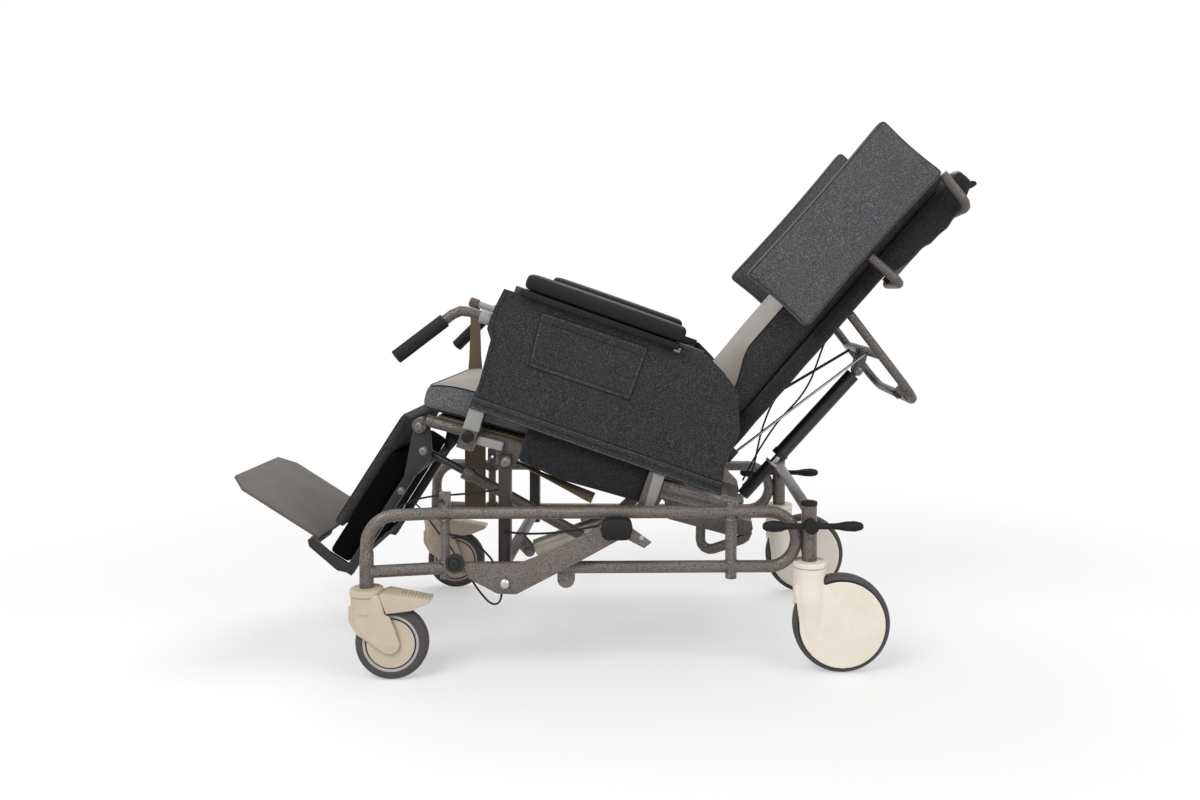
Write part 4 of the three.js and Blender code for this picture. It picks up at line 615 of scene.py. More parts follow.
class Shop:
    """The tools that every sub-assembly uses.

    A faceted tube's own points lie at most `sunk` inside the true tube and `proud_straight` or `proud_bent` outside
    it, in millimetres.
    """

    sunk = 2.9
    proud_straight = 0.3
    proud_bent = 2.3

    @staticmethod
    def clear() -> None:
        """Leaves edit mode and deselects everything."""
        if bpy.context.mode != "OBJECT":
            bpy.ops.object.mode_set(mode="OBJECT")
        bpy.ops.object.select_all(action="DESELECT")

    @staticmethod
    def only(piece: bpy.types.Object) -> bpy.types.Object:
        """Selects one object and makes it active.

        Args:
            piece: the object.

        Returns:
            The same object.
        """
        Shop.clear()
        piece.select_set(True)
        bpy.context.view_layer.objects.active = piece
        return piece

    @staticmethod
    @contextmanager
    def editing(piece: bpy.types.Object) -> Iterator[None]:
        """Opens a piece in edit mode with all of it selected, and closes it afterwards.

        Args:
            piece: the object.

        Yields:
            Nothing.
        """
        Shop.only(piece)
        bpy.ops.object.mode_set(mode="EDIT")
        bpy.ops.mesh.select_all(action="SELECT")
        yield
        bpy.ops.object.mode_set(mode="OBJECT")

    @staticmethod
    def settle(piece: bpy.types.Object, bench: Bench | None = None) -> bpy.types.Object:
        """Puts a piece's place into its mesh and leaves its object at the origin.

        Args:
            piece: the object.
            bench: the bench that it was made on, or None.

        Returns:
            The same object.
        """
        Shop.only(piece)
        bpy.ops.object.transform_apply(location=True, rotation=True, scale=True)
        if bench is not None:
            piece.matrix_world = bench.matrix()
            bpy.ops.object.transform_apply(location=True, rotation=True, scale=True)
        return piece

    @staticmethod
    def modify(piece: bpy.types.Object, kind: str, **settings: object) -> bpy.types.Object:
        """Adds a modifier and applies it.

        Args:
            piece: the object.
            kind: the modifier's type.
            settings: its settings.

        Returns:
            The same object.
        """
        Shop.only(piece)
        made = piece.modifiers.new(kind.lower(), kind)
        for name, value in settings.items():
            setattr(made, name, value)
        bpy.ops.object.modifier_apply(modifier=made.name)
        return piece

    @staticmethod
    def ease(piece: bpy.types.Object, width: float = 0.8, steps: int = 2, angle: float = 35.0) -> bpy.types.Object:
        """Breaks the sharp edges with a small round.

        Args:
            piece: the object.
            width: the round's width in millimetres.
            steps: its facets.
            angle: edges flatter than this many degrees are left.

        Returns:
            The same object.
        """
        Shop.modify(piece, "BEVEL", width=width * MM, segments=steps, limit_method="ANGLE",
                    angle_limit=math.radians(angle), use_clamp_overlap=True)
        return Shop.smooth(piece, angle)

    @staticmethod
    def smooth(piece: bpy.types.Object, angle: float = 40.0) -> bpy.types.Object:
        """Shades a piece smooth except over sharp edges.

        Args:
            piece: the object.
            angle: edges sharper than this many degrees stay sharp.

        Returns:
            The same object.
        """
        Shop.only(piece)
        bpy.ops.object.shade_smooth_by_angle(angle=math.radians(angle))
        return piece

    @staticmethod
    def outwards(piece: bpy.types.Object, gap: float = 0.01) -> bpy.types.Object:
        """Joins doubled points and turns the faces outwards.

        Args:
            piece: the object.
            gap: points nearer than this, in millimetres, are joined.

        Returns:
            The same object.
        """
        with Shop.editing(piece):
            bpy.ops.mesh.remove_doubles(threshold=gap * MM)
            bpy.ops.mesh.normals_make_consistent(inside=False)
        return piece

    @staticmethod
    def trued(piece: bpy.types.Object, line: Sequence[Vector], radius: float,
              straight: tuple[float, float]) -> bpy.types.Object:
        """Makes a faceted bent tube round: its points are laid on the true tube.

        Args:
            piece: the object.
            line: the tube's middle line, as close points in millimetres.
            radius: the tube's radius in millimetres.
            straight: the stretch of X without bends, where other parts meet the tube and stand out from it.

        Returns:
            The same object.
        """
        Shop.modify(piece, "SUBSURF", subdivision_type="SIMPLE", levels=2, render_levels=2)
        tree = KDTree(len(line))
        for number, spot in enumerate(line):
            tree.insert(spot, number)
        tree.balance()

        def lay(point: Vector) -> Vector:
            """Lays one point on the tube, where it is close to it."""
            spot, _, gap = tree.find(point)
            proud = Shop.proud_straight if straight[0] < point.x < straight[1] else Shop.proud_bent
            near = radius - Shop.sunk < gap < radius + proud
            return spot + (point - spot) * (radius / gap) if near else point

        return Shop.reshape(piece, lay)

    @staticmethod
    def split(piece: bpy.types.Object, bench: Bench, axis: int, place: float) -> bpy.types.Object:
        """Splits the faces that cross a plane.

        Args:
            piece: the object.
            bench: the bench that the plane is measured on.
            axis: the bench's axis that it is square to.
            place: where it crosses that axis, in millimetres.

        Returns:
            The same object.
        """
        way, matrix = (AHEAD, ACROSS, UP)[axis], bench.matrix()
        with Shop.editing(piece):
            bpy.ops.mesh.bisect(plane_co=matrix @ (way * place * MM), plane_no=matrix.to_3x3() @ way)
        return piece

    @staticmethod
    def block(name: str, low: Point, high: Point, cells: tuple[int, int, int] = (1, 1, 1)) -> bpy.types.Object:
        """A box with a grid of faces, between two corners in millimetres.

        Args:
            name: the piece's name.
            low: the lowest corner.
            high: the highest corner.
            cells: how many faces it has along each side.

        Returns:
            The object.
        """
        Shop.clear()
        middle = [(a + b) / 2 * MM for a, b in zip(low, high)]
        bpy.ops.mesh.primitive_cube_add(size=1, location=middle)
        piece = bpy.context.active_object
        piece.name = name
        piece.scale = [(b - a) * MM for a, b in zip(low, high)]
        bpy.ops.object.transform_apply(location=True, rotation=True, scale=True)
        for axis, count in enumerate(cells):
            if count < 2:
                continue
            runs = [piece.data.vertices[a].co - piece.data.vertices[b].co for a, b in piece.data.edge_keys]
            with Shop.editing(piece):
                bpy.ops.mesh.select_mode(type="EDGE")
                bpy.ops.mesh.select_all(action="DESELECT")
            piece.data.edges.foreach_set("select", [abs(run[axis]) > run.length * 0.9 for run in runs])
            bpy.ops.object.mode_set(mode="EDIT")
            bpy.ops.mesh.subdivide(number_cuts=count - 1)
            bpy.ops.object.mode_set(mode="OBJECT")
        return piece

    @staticmethod
    def drum(name: str, start: Vector, end: Vector, radius: float, sides: int = 32) -> bpy.types.Object:
        """A capped round bar between two points in metres.

        Args:
            name: the piece's name.
            start: the middle of one end.
            end: the middle of the other end.
            radius: its radius in millimetres.
            sides: its facets.

        Returns:
            The object.
        """
        Shop.clear()
        run = end - start
        bpy.ops.mesh.primitive_cylinder_add(vertices=sides, radius=radius * MM, depth=run.length,
                                            location=(start + end) / 2)
        piece = bpy.context.active_object
        piece.name = name
        piece.rotation_mode = "QUATERNION"
        piece.rotation_quaternion = run.to_track_quat("Z", "Y")
        return Shop.settle(piece)

    @staticmethod
    def lathe(name: str, profile: Outline, centre: Vector, axis: Vector, steps: int = 64) -> bpy.types.Object:
        """A turned shape: the profile is spun about an axis.

        Args:
            name: the piece's name.
            profile: closed outline as (along the axis, radius), in millimetres.
            centre: the axis's zero in metres.
            axis: the axis's direction.
            steps: facets round the axis.

        Returns:
            The object.
        """
        Shop.clear()
        bpy.ops.mesh.primitive_circle_add(vertices=len(profile), radius=MM, fill_type="NOTHING")
        piece = bpy.context.active_object
        piece.name = name
        for vertex, (along, radius) in zip(piece.data.vertices, profile):
            vertex.co = (radius * MM, 0.0, along * MM)
        with Shop.editing(piece):
            bpy.ops.mesh.spin(steps=steps, angle=math.tau, center=(0, 0, 0), axis=UP)
            bpy.ops.mesh.select_all(action="SELECT")
            bpy.ops.mesh.remove_doubles(threshold=0.01 * MM)
            bpy.ops.mesh.delete_loose()
        piece.rotation_mode = "QUATERNION"
        piece.rotation_quaternion = axis.to_track_quat("Z", "Y")
        piece.location = centre
        Shop.settle(piece)
        Shop.outwards(piece)
        return Shop.smooth(piece, 38)

    @staticmethod
    def line(name: str, points: Sequence[Vector], closed: bool = False,
             radii: Sequence[float] = ()) -> bpy.types.Object:
        """A bare curve along points.

        Args:
            name: its name.
            points: what it passes through, in metres.
            closed: whether it runs back to its start.
            radii: each point's share of a pipe's radius, where it tapers.

        Returns:
            The curve.
        """
        Shop.clear()
        bpy.ops.curve.primitive_nurbs_path_add()
        piece = bpy.context.active_object
        piece.location = (0, 0, 0)
        piece.name = name
        piece.data.splines.clear()
        spline = piece.data.splines.new("POLY")
        spline.points.add(len(points) - 1)
        for number, (target, source) in enumerate(zip(spline.points, points)):
            target.co = (*source, 1.0)
            target.radius = radii[number] if radii else 1.0
        spline.use_cyclic_u = closed
        piece.data.dimensions = "3D"
        piece.data.twist_mode = "MINIMUM"
        return piece

    @staticmethod
    def stitches(name: str, points: Sequence[Vector], pitch: float = 6.2, reach: float = 2.1,
                 thick: float = 0.6) -> bpy.types.Object:
        """A row of stitches along a line.

        Args:
            name: the piece's name.
            points: the line, in metres.
            pitch: from one stitch to the next, in millimetres.
            reach: half of a stitch's length.
            thick: half of its thickness.

        Returns:
            The stitches.
        """
        guide = Shop.line(name + "_guide", points)
        Shop.clear()
        bpy.ops.mesh.primitive_ico_sphere_add(subdivisions=1, radius=MM)
        piece = bpy.context.active_object
        piece.name = name
        piece.scale = (reach, thick, thick)
        bpy.ops.object.transform_apply(scale=True)
        count = max(2, int(length_of(points) / (pitch * MM)))
        Shop.modify(piece, "ARRAY", use_relative_offset=False, use_constant_offset=True, count=count,
                    constant_offset_displace=(pitch * MM, 0, 0))
        Shop.modify(piece, "CURVE", object=guide, deform_axis="POS_X")
        bpy.data.objects.remove(guide)
        return Shop.smooth(piece, 60)

    @staticmethod
    def pipe(name: str, points: Sequence[Vector], radius: float, sides: int = 16, closed: bool = False,
             radii: Sequence[float] = ()) -> bpy.types.Object:
        """A round tube along points.

        Args:
            name: the piece's name.
            points: its middle line in metres.
            radius: its radius in millimetres.
            sides: its facets, a multiple of 4.
            closed: whether it runs back to its start.
            radii: each point's share of the radius, where it tapers.

        Returns:
            The object.
        """
        piece = Shop.line(name, points, closed, radii)
        piece.data.bevel_depth = radius * MM
        piece.data.bevel_resolution = max(1, sides // 4 - 1)
        piece.data.use_fill_caps = not closed
        Shop.only(piece)
        bpy.ops.object.convert(target="MESH")
        piece = bpy.context.active_object
        piece.name = name
        Shop.settle(piece)
        Shop.outwards(piece)
        return Shop.smooth(piece, 50)

    @staticmethod
    def plate(name: str, outline: Outline, inner: float, outer: float, edge: float,
              cell: float) -> bpy.types.Object:
        """A flat panel standing in the X-Z plane, cut to an outline.

        Args:
            name: its name.
            outline: its corners (x, z), in millimetres.
            inner: where one face lies along Y.
            outer: where the other face lies.
            edge: how far its rim is rounded.
            cell: how finely its faces are cut up.

        Returns:
            The panel.
        """
        Shop.clear()
        bpy.ops.mesh.primitive_circle_add(vertices=len(outline), radius=MM, fill_type="NGON")
        piece = bpy.context.active_object
        piece.name = name
        for vertex, (x, z) in zip(piece.data.vertices, outline):
            vertex.co = Vector((x, inner, z)) * MM
        with Shop.editing(piece):
            for values, normal in zip(zip(*outline), (AHEAD, UP)):
                for number in range(1, int((max(values) - min(values)) / cell)):
                    place = (min(values) + number * cell) * MM
                    bpy.ops.mesh.select_all(action="SELECT")
                    bpy.ops.mesh.bisect(plane_co=(place, inner * MM, place), plane_no=normal)
            bpy.ops.mesh.select_all(action="SELECT")
            bpy.ops.mesh.extrude_region_move(TRANSFORM_OT_translate={"value": (0, (outer - inner) * MM, 0)})
        Shop.outwards(piece)
        Shop.modify(piece, "BEVEL", width=edge * MM, segments=3, limit_method="ANGLE", angle_limit=math.radians(60))
        return Shop.smooth(piece, 60)

    @staticmethod
    def join(name: str, parts: Sequence[bpy.types.Object]) -> bpy.types.Object:
        """Makes one object of several.

        Args:
            name: its name.
            parts: the objects.

        Returns:
            The object.
        """
        Shop.only(parts[0])
        for part in parts[1:]:
            part.select_set(True)
        if len(parts) > 1:
            bpy.ops.object.join()
        parts[0].name = name
        return parts[0]

    @staticmethod
    def reshape(piece: bpy.types.Object, move: Callable[[Vector], Vector]) -> bpy.types.Object:
        """Moves every point of a mesh.

        Args:
            piece: the object.
            move: gives a point's new place, in millimetres.

        Returns:
            The same object.
        """
        for vertex in piece.data.vertices:
            vertex.co = move(vertex.co / MM) * MM
        piece.data.update()
        return piece


def bent(points: Sequence[Point], radii: Sequence[float], pitch: float = 1.0) -> list[Vector]:
    """Rounds the corners of a line with true arcs, and marks points along it.

    Args:
        points: the corners, in millimetres.
        radii: each inner corner's bend radius.
        pitch: the distance between points on the straight stretches.

    Returns:
        The points, in millimetres.
    """
    corners, steps = [Vector(p) for p in points], 40
    line = [corners[0]]
    for before, corner, after, radius in zip(corners, corners[1:], corners[2:], radii):
        back, ahead = (before - corner).normalized(), (after - corner).normalized()
        half = back.angle(ahead) / 2
        reach = radius / math.tan(half)
        start, end = corner + back * reach, corner + ahead * reach
        for step in range(steps + 1):
            share = step / steps
            parts = (1 - share) ** 2, 2 * share * (1 - share) * math.sin(half), share ** 2
            line.append((start * parts[0] + corner * parts[1] + end * parts[2]) / sum(parts))
    line.append(corners[-1])
    filled = []
    for a, b in zip(line, line[1:]):
        count = max(1, math.ceil((b - a).length / pitch))
        filled += [a.lerp(b, step / count) for step in range(count)]
    return [*filled, line[-1]]


def along_curve(points: Sequence[Vector], count: int) -> list[Vector]:
    """A smooth line through points.

    Args:
        points: what it passes through.
        count: how many points each stretch gives.

    Returns:
        The line.
    """
    line: list[Vector] = []
    padded = [points[0] * 2 - points[1], *points, points[-1] * 2 - points[-2]]
    for a, b, c, d in zip(padded, padded[1:], padded[2:], padded[3:]):
        for step in range(count):
            t = step / count
            line.append(0.5 * (2 * b + (c - a) * t + (2 * a - 5 * b + 4 * c - d) * t * t
                               + (3 * b - 3 * c + d - a) * t ** 3))
    return [*line, points[-1]]


def passed(value: float, start: float, stretch: float) -> float:
    """Returns how much of a stretch a value has passed, from 0 to 1."""
    return max(0.0, min(1.0, (value - start) / stretch))


def ramp(value: float, start: float, stretch: float) -> float:
    """Returns a soft step from 0 to 1 over a stretch."""
    share = passed(value, start, stretch)
    return share * share * (3 - 2 * share)


def length_of(line: Sequence[Vector]) -> float:
    """Returns a line's length."""
    return sum((b - a).length for a, b in zip(line, line[1:]))


@dataclass
class Assembly:
    """A sub-assembly: it dresses its nodes and adds its pieces."""

    nodes: dict[str, bpy.types.Object]
    made: list[str] = field(default_factory=list)

    def finish(self, piece: bpy.types.Object, kit: Kit, body: str, *nodes: str,
               bench: Bench | None = None) -> bpy.types.Object:
        """Gives a piece its finish, its body and the nodes that it stands for.

        Args:
            piece: the object.
            kit: its finish.
            body: the body that it moves with.
            nodes: the nodes that it replaces.
            bench: the bench that it was made on, or None.

        Returns:
            The same object.
        """
        if bench is not None:
            Shop.settle(piece, bench)
        if not piece.data.materials:
            piece.data.materials.append(kit.material())
        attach(piece, body)
        if nodes:
            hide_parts(*nodes)
        self.made.append(piece.name)
        return piece

    def slab(self, name: str, low: Point, high: Point, rim: float, steps: int, kit: Kit, body: str,
             bench: Bench) -> None:
        """Makes a plain box between two corners, with its edges rounded."""
        self.finish(Shop.ease(Shop.block(name, low, high), rim, steps), kit, body, bench=bench)

    def landing(self, node: str, start: Point, way: Sequence[float]) -> Vector | None:
        """Finds where a line first meets a node.

        Args:
            node: the node.
            start: where the line starts, in millimetres.
            way: its direction.

        Returns:
            The place in metres, or None.
        """
        mesh = self.nodes[node].data
        tree = BVHTree.FromPolygons([v.co for v in mesh.vertices], [f.vertices for f in mesh.polygons])
        return tree.ray_cast(Vector(start) * MM, Vector(way))[0]

    def copy_of(self, node: str) -> bpy.types.Object:
        """Copies a node, with its points joined, its faces turned outwards and no finish.

        Args:
            node: the node.

        Returns:
            The copy.
        """
        source = self.nodes[node]
        piece = source.copy()
        piece.data = source.data.copy()
        piece.name = node + "_finished"
        for key in [k for k in piece.keys() if k.startswith("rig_")]:
            del piece[key]
        piece.parent = None
        bpy.context.collection.objects.link(piece)
        piece.data.materials.clear()
        return Shop.outwards(piece, 0.02)

    def recut(self, node: str, kit: Kit, body: str, width: float = 0.8, angle: float = 40.0,
              paint: Sequence[tuple[Kit, Callable[[Vector], bool]]] = (),
              cuts: Sequence[tuple[Bench, int, float]] = (),
              tube: tuple[Sequence[Vector], float, tuple[float, float]] | None = None) -> bpy.types.Object:
        """A finely finished copy of a node, with its edges broken and its tubes smooth.

        Args:
            node: the node.
            kit: its finish.
            body: the body that it moves with.
            width: how wide its edges are broken, in millimetres, or 0.
            angle: edges flatter than this many degrees are smooth.
            paint: other finishes, each with the test that a face's middle, in metres, has to pass.
            cuts: where faces are split for the paint: a bench, its axis and the place on it, in millimetres.
            tube: the middle line, the radius and the straight stretch of its bent tube, in millimetres, or None.

        Returns:
            The copy.
        """
        piece = self.copy_of(node)
        for bench, axis, place in cuts:
            Shop.split(piece, bench, axis, place)
        if width:
            Shop.modify(piece, "BEVEL", width=width * MM, segments=2, limit_method="ANGLE",
                        angle_limit=math.radians(angle), use_clamp_overlap=True)
        if tube is not None:
            Shop.trued(piece, *tube)
        Shop.smooth(piece, angle)
        piece.data.materials.append(kit.material())
        for number, (other, test) in enumerate(paint, 1):
            piece.data.materials.append(other.material())
            for face in piece.data.polygons:
                if test(face.center):
                    face.material_index = number
        return self.finish(piece, kit, body, node)

    def report(self) -> None:
        """Logs what was made."""
        LOG.info("%s: %s", type(self).__name__, ", ".join(self.made))


# Sides and soft pieces


class Side(Enum):
    """The occupant's left or right; the value is the sign of Y."""

    LEFT = -1
    RIGHT = 1

    @property
    def word(self) -> str:
        """Returns the side as it stands in the node names."""
        return self.name.lower()

    @property
    def letter(self) -> str:
        """Returns the side as it stands in the body names."""
        return self.word[0]

    def span(self, near: float, far: float) -> tuple[float, float]:
        """Returns the low and the high Y of what lies between two distances from the middle."""
        low, high = sorted((self.value * near, self.value * far))
        return low, high


@dataclass(frozen=True)
class Stuffing:
    """How a stuffed piece is shaped: lengths in millimetres.

    Args:
        thin: the axis that the cover's two panels face, 0, 1 or 2.
        soft: how round its edges are.
        crown: how far the panels swell at their middle.
        pull: how far the sides draw in between the corners.
        cell: the size of its faces.
        press: the air pressure while it is filled, or 0.
        cap: how far filling may move a point.
        cord: the seam cord's radius, or 0.
    """

    thin: int
    soft: float
    crown: float
    pull: float
    cell: float
    press: float = 0.0
    cap: float = 0.0
    cord: float = 0.0


@dataclass
class Upholstery(Assembly):
    """Makes stuffed pieces from the room that their nodes hold."""

    def extent(self, node: str, bench: Bench) -> tuple[Vector, Vector]:
        """A node's lowest and highest corner on its bench.

        Args:
            node: the node.
            bench: the bench.

        Returns:
            Both corners, in millimetres.
        """
        spots = [bench.spot(v.co) for v in self.nodes[node].data.vertices]
        return (Vector([min(p[i] for p in spots) for i in range(3)]),
                Vector([max(p[i] for p in spots) for i in range(3)]))

    def stuffed(self, name: str, low: Vector, high: Vector, how: Stuffing, body: str, bench: Bench,
                kits: tuple[Kit, ...], *nodes: str, shape: Callable[[Vector], Vector] | None = None,
                fill: float = 0.7, trim: Kit | None = None) -> bpy.types.Object:
        """A cushion with two panels and a band between them.

        Args:
            name: its name.
            low: its lowest corner on the bench, in millimetres.
            high: its highest corner.
            how: its shape.
            body: the body that it moves with.
            bench: the bench that it is made on.
            kits: the finishes of the band, the low and the high panel, or one for all.
            nodes: the nodes that it replaces.
            shape: a last move of every point, in millimetres, or None.
            fill: not used.
            trim: the seam cords' finish, or None for the band's.

        Returns:
            The cushion.
        """
        size = high - low
        cells = tuple(max(3, round(size[i] / how.cell)) for i in range(3))
        piece = Shop.block(name, tuple(low), tuple(high), cells)
        regions = []
        for face in piece.data.polygons:
            normal = face.normal[how.thin]
            regions.append(0 if abs(normal) < 0.5 else (2 if normal > 0 else 1))
        middle, half = (low + high) / 2, size / 2
        others = [i for i in range(3) if i != how.thin]

        def move(point: Vector) -> Vector:
            """Rounds, swells and draws in one point."""
            place = point - middle
            soft = [min(how.soft, h * 0.98) for h in half]
            inner = Vector([max(-h + s, min(h - s, c)) for c, h, s in zip(place, half, soft)])
            out = Vector([(c - i) / s for c, i, s in zip(place, inner, soft)])
            if out.length > 1e-9:
                out *= max(abs(c) for c in out) / out.length
            place = inner + Vector([o * s for o, s in zip(out, soft)])
            share = [max(0.0, 1 - (place[i] / half[i]) ** 2) for i in others]
            rise = (share[0] * share[1]) ** 0.5
            depth = place[how.thin] / half[how.thin]
            place[how.thin] += depth * (how.crown * rise - how.crown)
            for number, axis in enumerate(others):
                edge = abs(place[axis] / half[axis]) ** 4
                place[axis] -= math.copysign(how.pull * edge * share[1 - number], place[axis])
            return place + middle

        Shop.reshape(piece, move)
        if shape is not None:
            Shop.reshape(piece, shape)
        cover, finishes = kits[0], list(dict.fromkeys(kits))
        for kit in finishes:
            piece.data.materials.append(kit.material())
        for face, region in zip(piece.data.polygons, regions):
            face.material_index = finishes.index(kits[region % len(kits)])
        seam = self._seams(piece, regions)
        if how.press:
            self._fill(piece, seam, how)
        lines = self._chains(piece, seam)
        Shop.modify(piece, "SUBSURF", levels=1, render_levels=1)
        Shop.smooth(piece, 75)
        self.finish(piece, cover, body, *nodes, bench=bench)
        if how.cord:
            for number, line in enumerate(lines, 1):
                run = [bench.matrix() @ p for p in line]
                cord = Shop.pipe(f"{name}_seam_{number}", run, how.cord, 8, closed=True)
                self.finish(cord, trim or cover, body)
        return piece

    @staticmethod
    def _seams(piece: bpy.types.Object, regions: Sequence[int]) -> list[tuple[int, int]]:
        """Finds the edges where two panels meet.

        Args:
            piece: the cushion.
            regions: each face's panel.

        Returns:
            The edges, as pairs of points.
        """
        met: dict[tuple[int, int], set[int]] = {}
        for face in piece.data.polygons:
            for key in face.edge_keys:
                met.setdefault(key, set()).add(regions[face.index])
        return [key for key, sides in met.items() if len(sides) > 1]

    @staticmethod
    def _chains(piece: bpy.types.Object, seam: Iterable[tuple[int, int]]) -> list[list[Vector]]:
        """Orders the seam's edges into closed lines.

        Args:
            piece: the cushion.
            seam: its edges.

        Returns:
            The lines.
        """
        beside: dict[int, list[int]] = {}
        for a, b in seam:
            beside.setdefault(a, []).append(b)
            beside.setdefault(b, []).append(a)
        lines, seen = [], set()
        for start in sorted(beside):
            if start in seen:
                continue
            line, here = [], start
            while here is not None:
                seen.add(here)
                line.append(piece.data.vertices[here].co.copy())
                here = next((n for n in beside[here] if n not in seen), None)
            lines.append(line)
        return lines

    @staticmethod
    def _fill(piece: bpy.types.Object, seam: Iterable[tuple[int, int]], how: Stuffing) -> None:
        """Fills a cushion with air while its seams are held, and keeps the shape.

        Args:
            piece: the cushion.
            seam: the edges that are held.
            how: the pressure and the cap.
        """
        rest = [v.co.copy() for v in piece.data.vertices]
        held = sorted({i for edge in seam for i in edge})
        group = piece.vertex_groups.new(name="held")
        group.add(held, 1.0, "REPLACE")
        Shop.only(piece)
        cloth = piece.modifiers.new("filling", "CLOTH")
        for name, value in {
                "quality": 5, "mass": 0.2, "tension_stiffness": 12, "compression_stiffness": 12,
                "bending_stiffness": 0.4, "use_pressure": True, "uniform_pressure_force": how.press,
                "vertex_group_mass": group.name}.items():
            setattr(cloth.settings, name, value)
        cloth.settings.effector_weights.gravity = 0
        cloth.collision_settings.use_collision = False
        cloth.collision_settings.use_self_collision = False
        frames, last = 12, 20
        cloth.point_cache.frame_end = last
        scene = bpy.context.scene
        for frame in range(1, frames + 1):
            scene.frame_set(frame)
        bpy.ops.object.modifier_apply(modifier=cloth.name)
        scene.frame_set(1)
        cap = how.cap * MM
        for vertex, start in zip(piece.data.vertices, rest):
            step = vertex.co - start
            if step.length > 1e-9:
                vertex.co = start + step * (cap * math.tanh(step.length / cap) / step.length)
        piece.data.update()


# Base


class Caster(Enum):
    """The two sizes of caster; lengths in millimetres.

    The value holds the finish, the post's X, half the track, the axle (x, z), the wheel's radius and half the room
    between the cheeks.
    """

    FRONT = (Kit.BEIGE, -460.0, 322.0, (-407.0, 75.0), 75.0, 18.3)
    REAR = (Kit.IVORY, 454.0, 280.0, (520.0, 101.6), 101.6, 18.0)

    def __init__(self, kit: Kit, post: float, track: float, axle: tuple[float, float], wheel: float,
                 room: float) -> None:
        """Names the parts of the value."""
        self.kit, self.post, self.track, self.axle, self.wheel, self.room = kit, post, track, axle, wheel, room

    @property
    def word(self) -> str:
        """Returns the caster as it stands in the node names."""
        return self.name.lower()


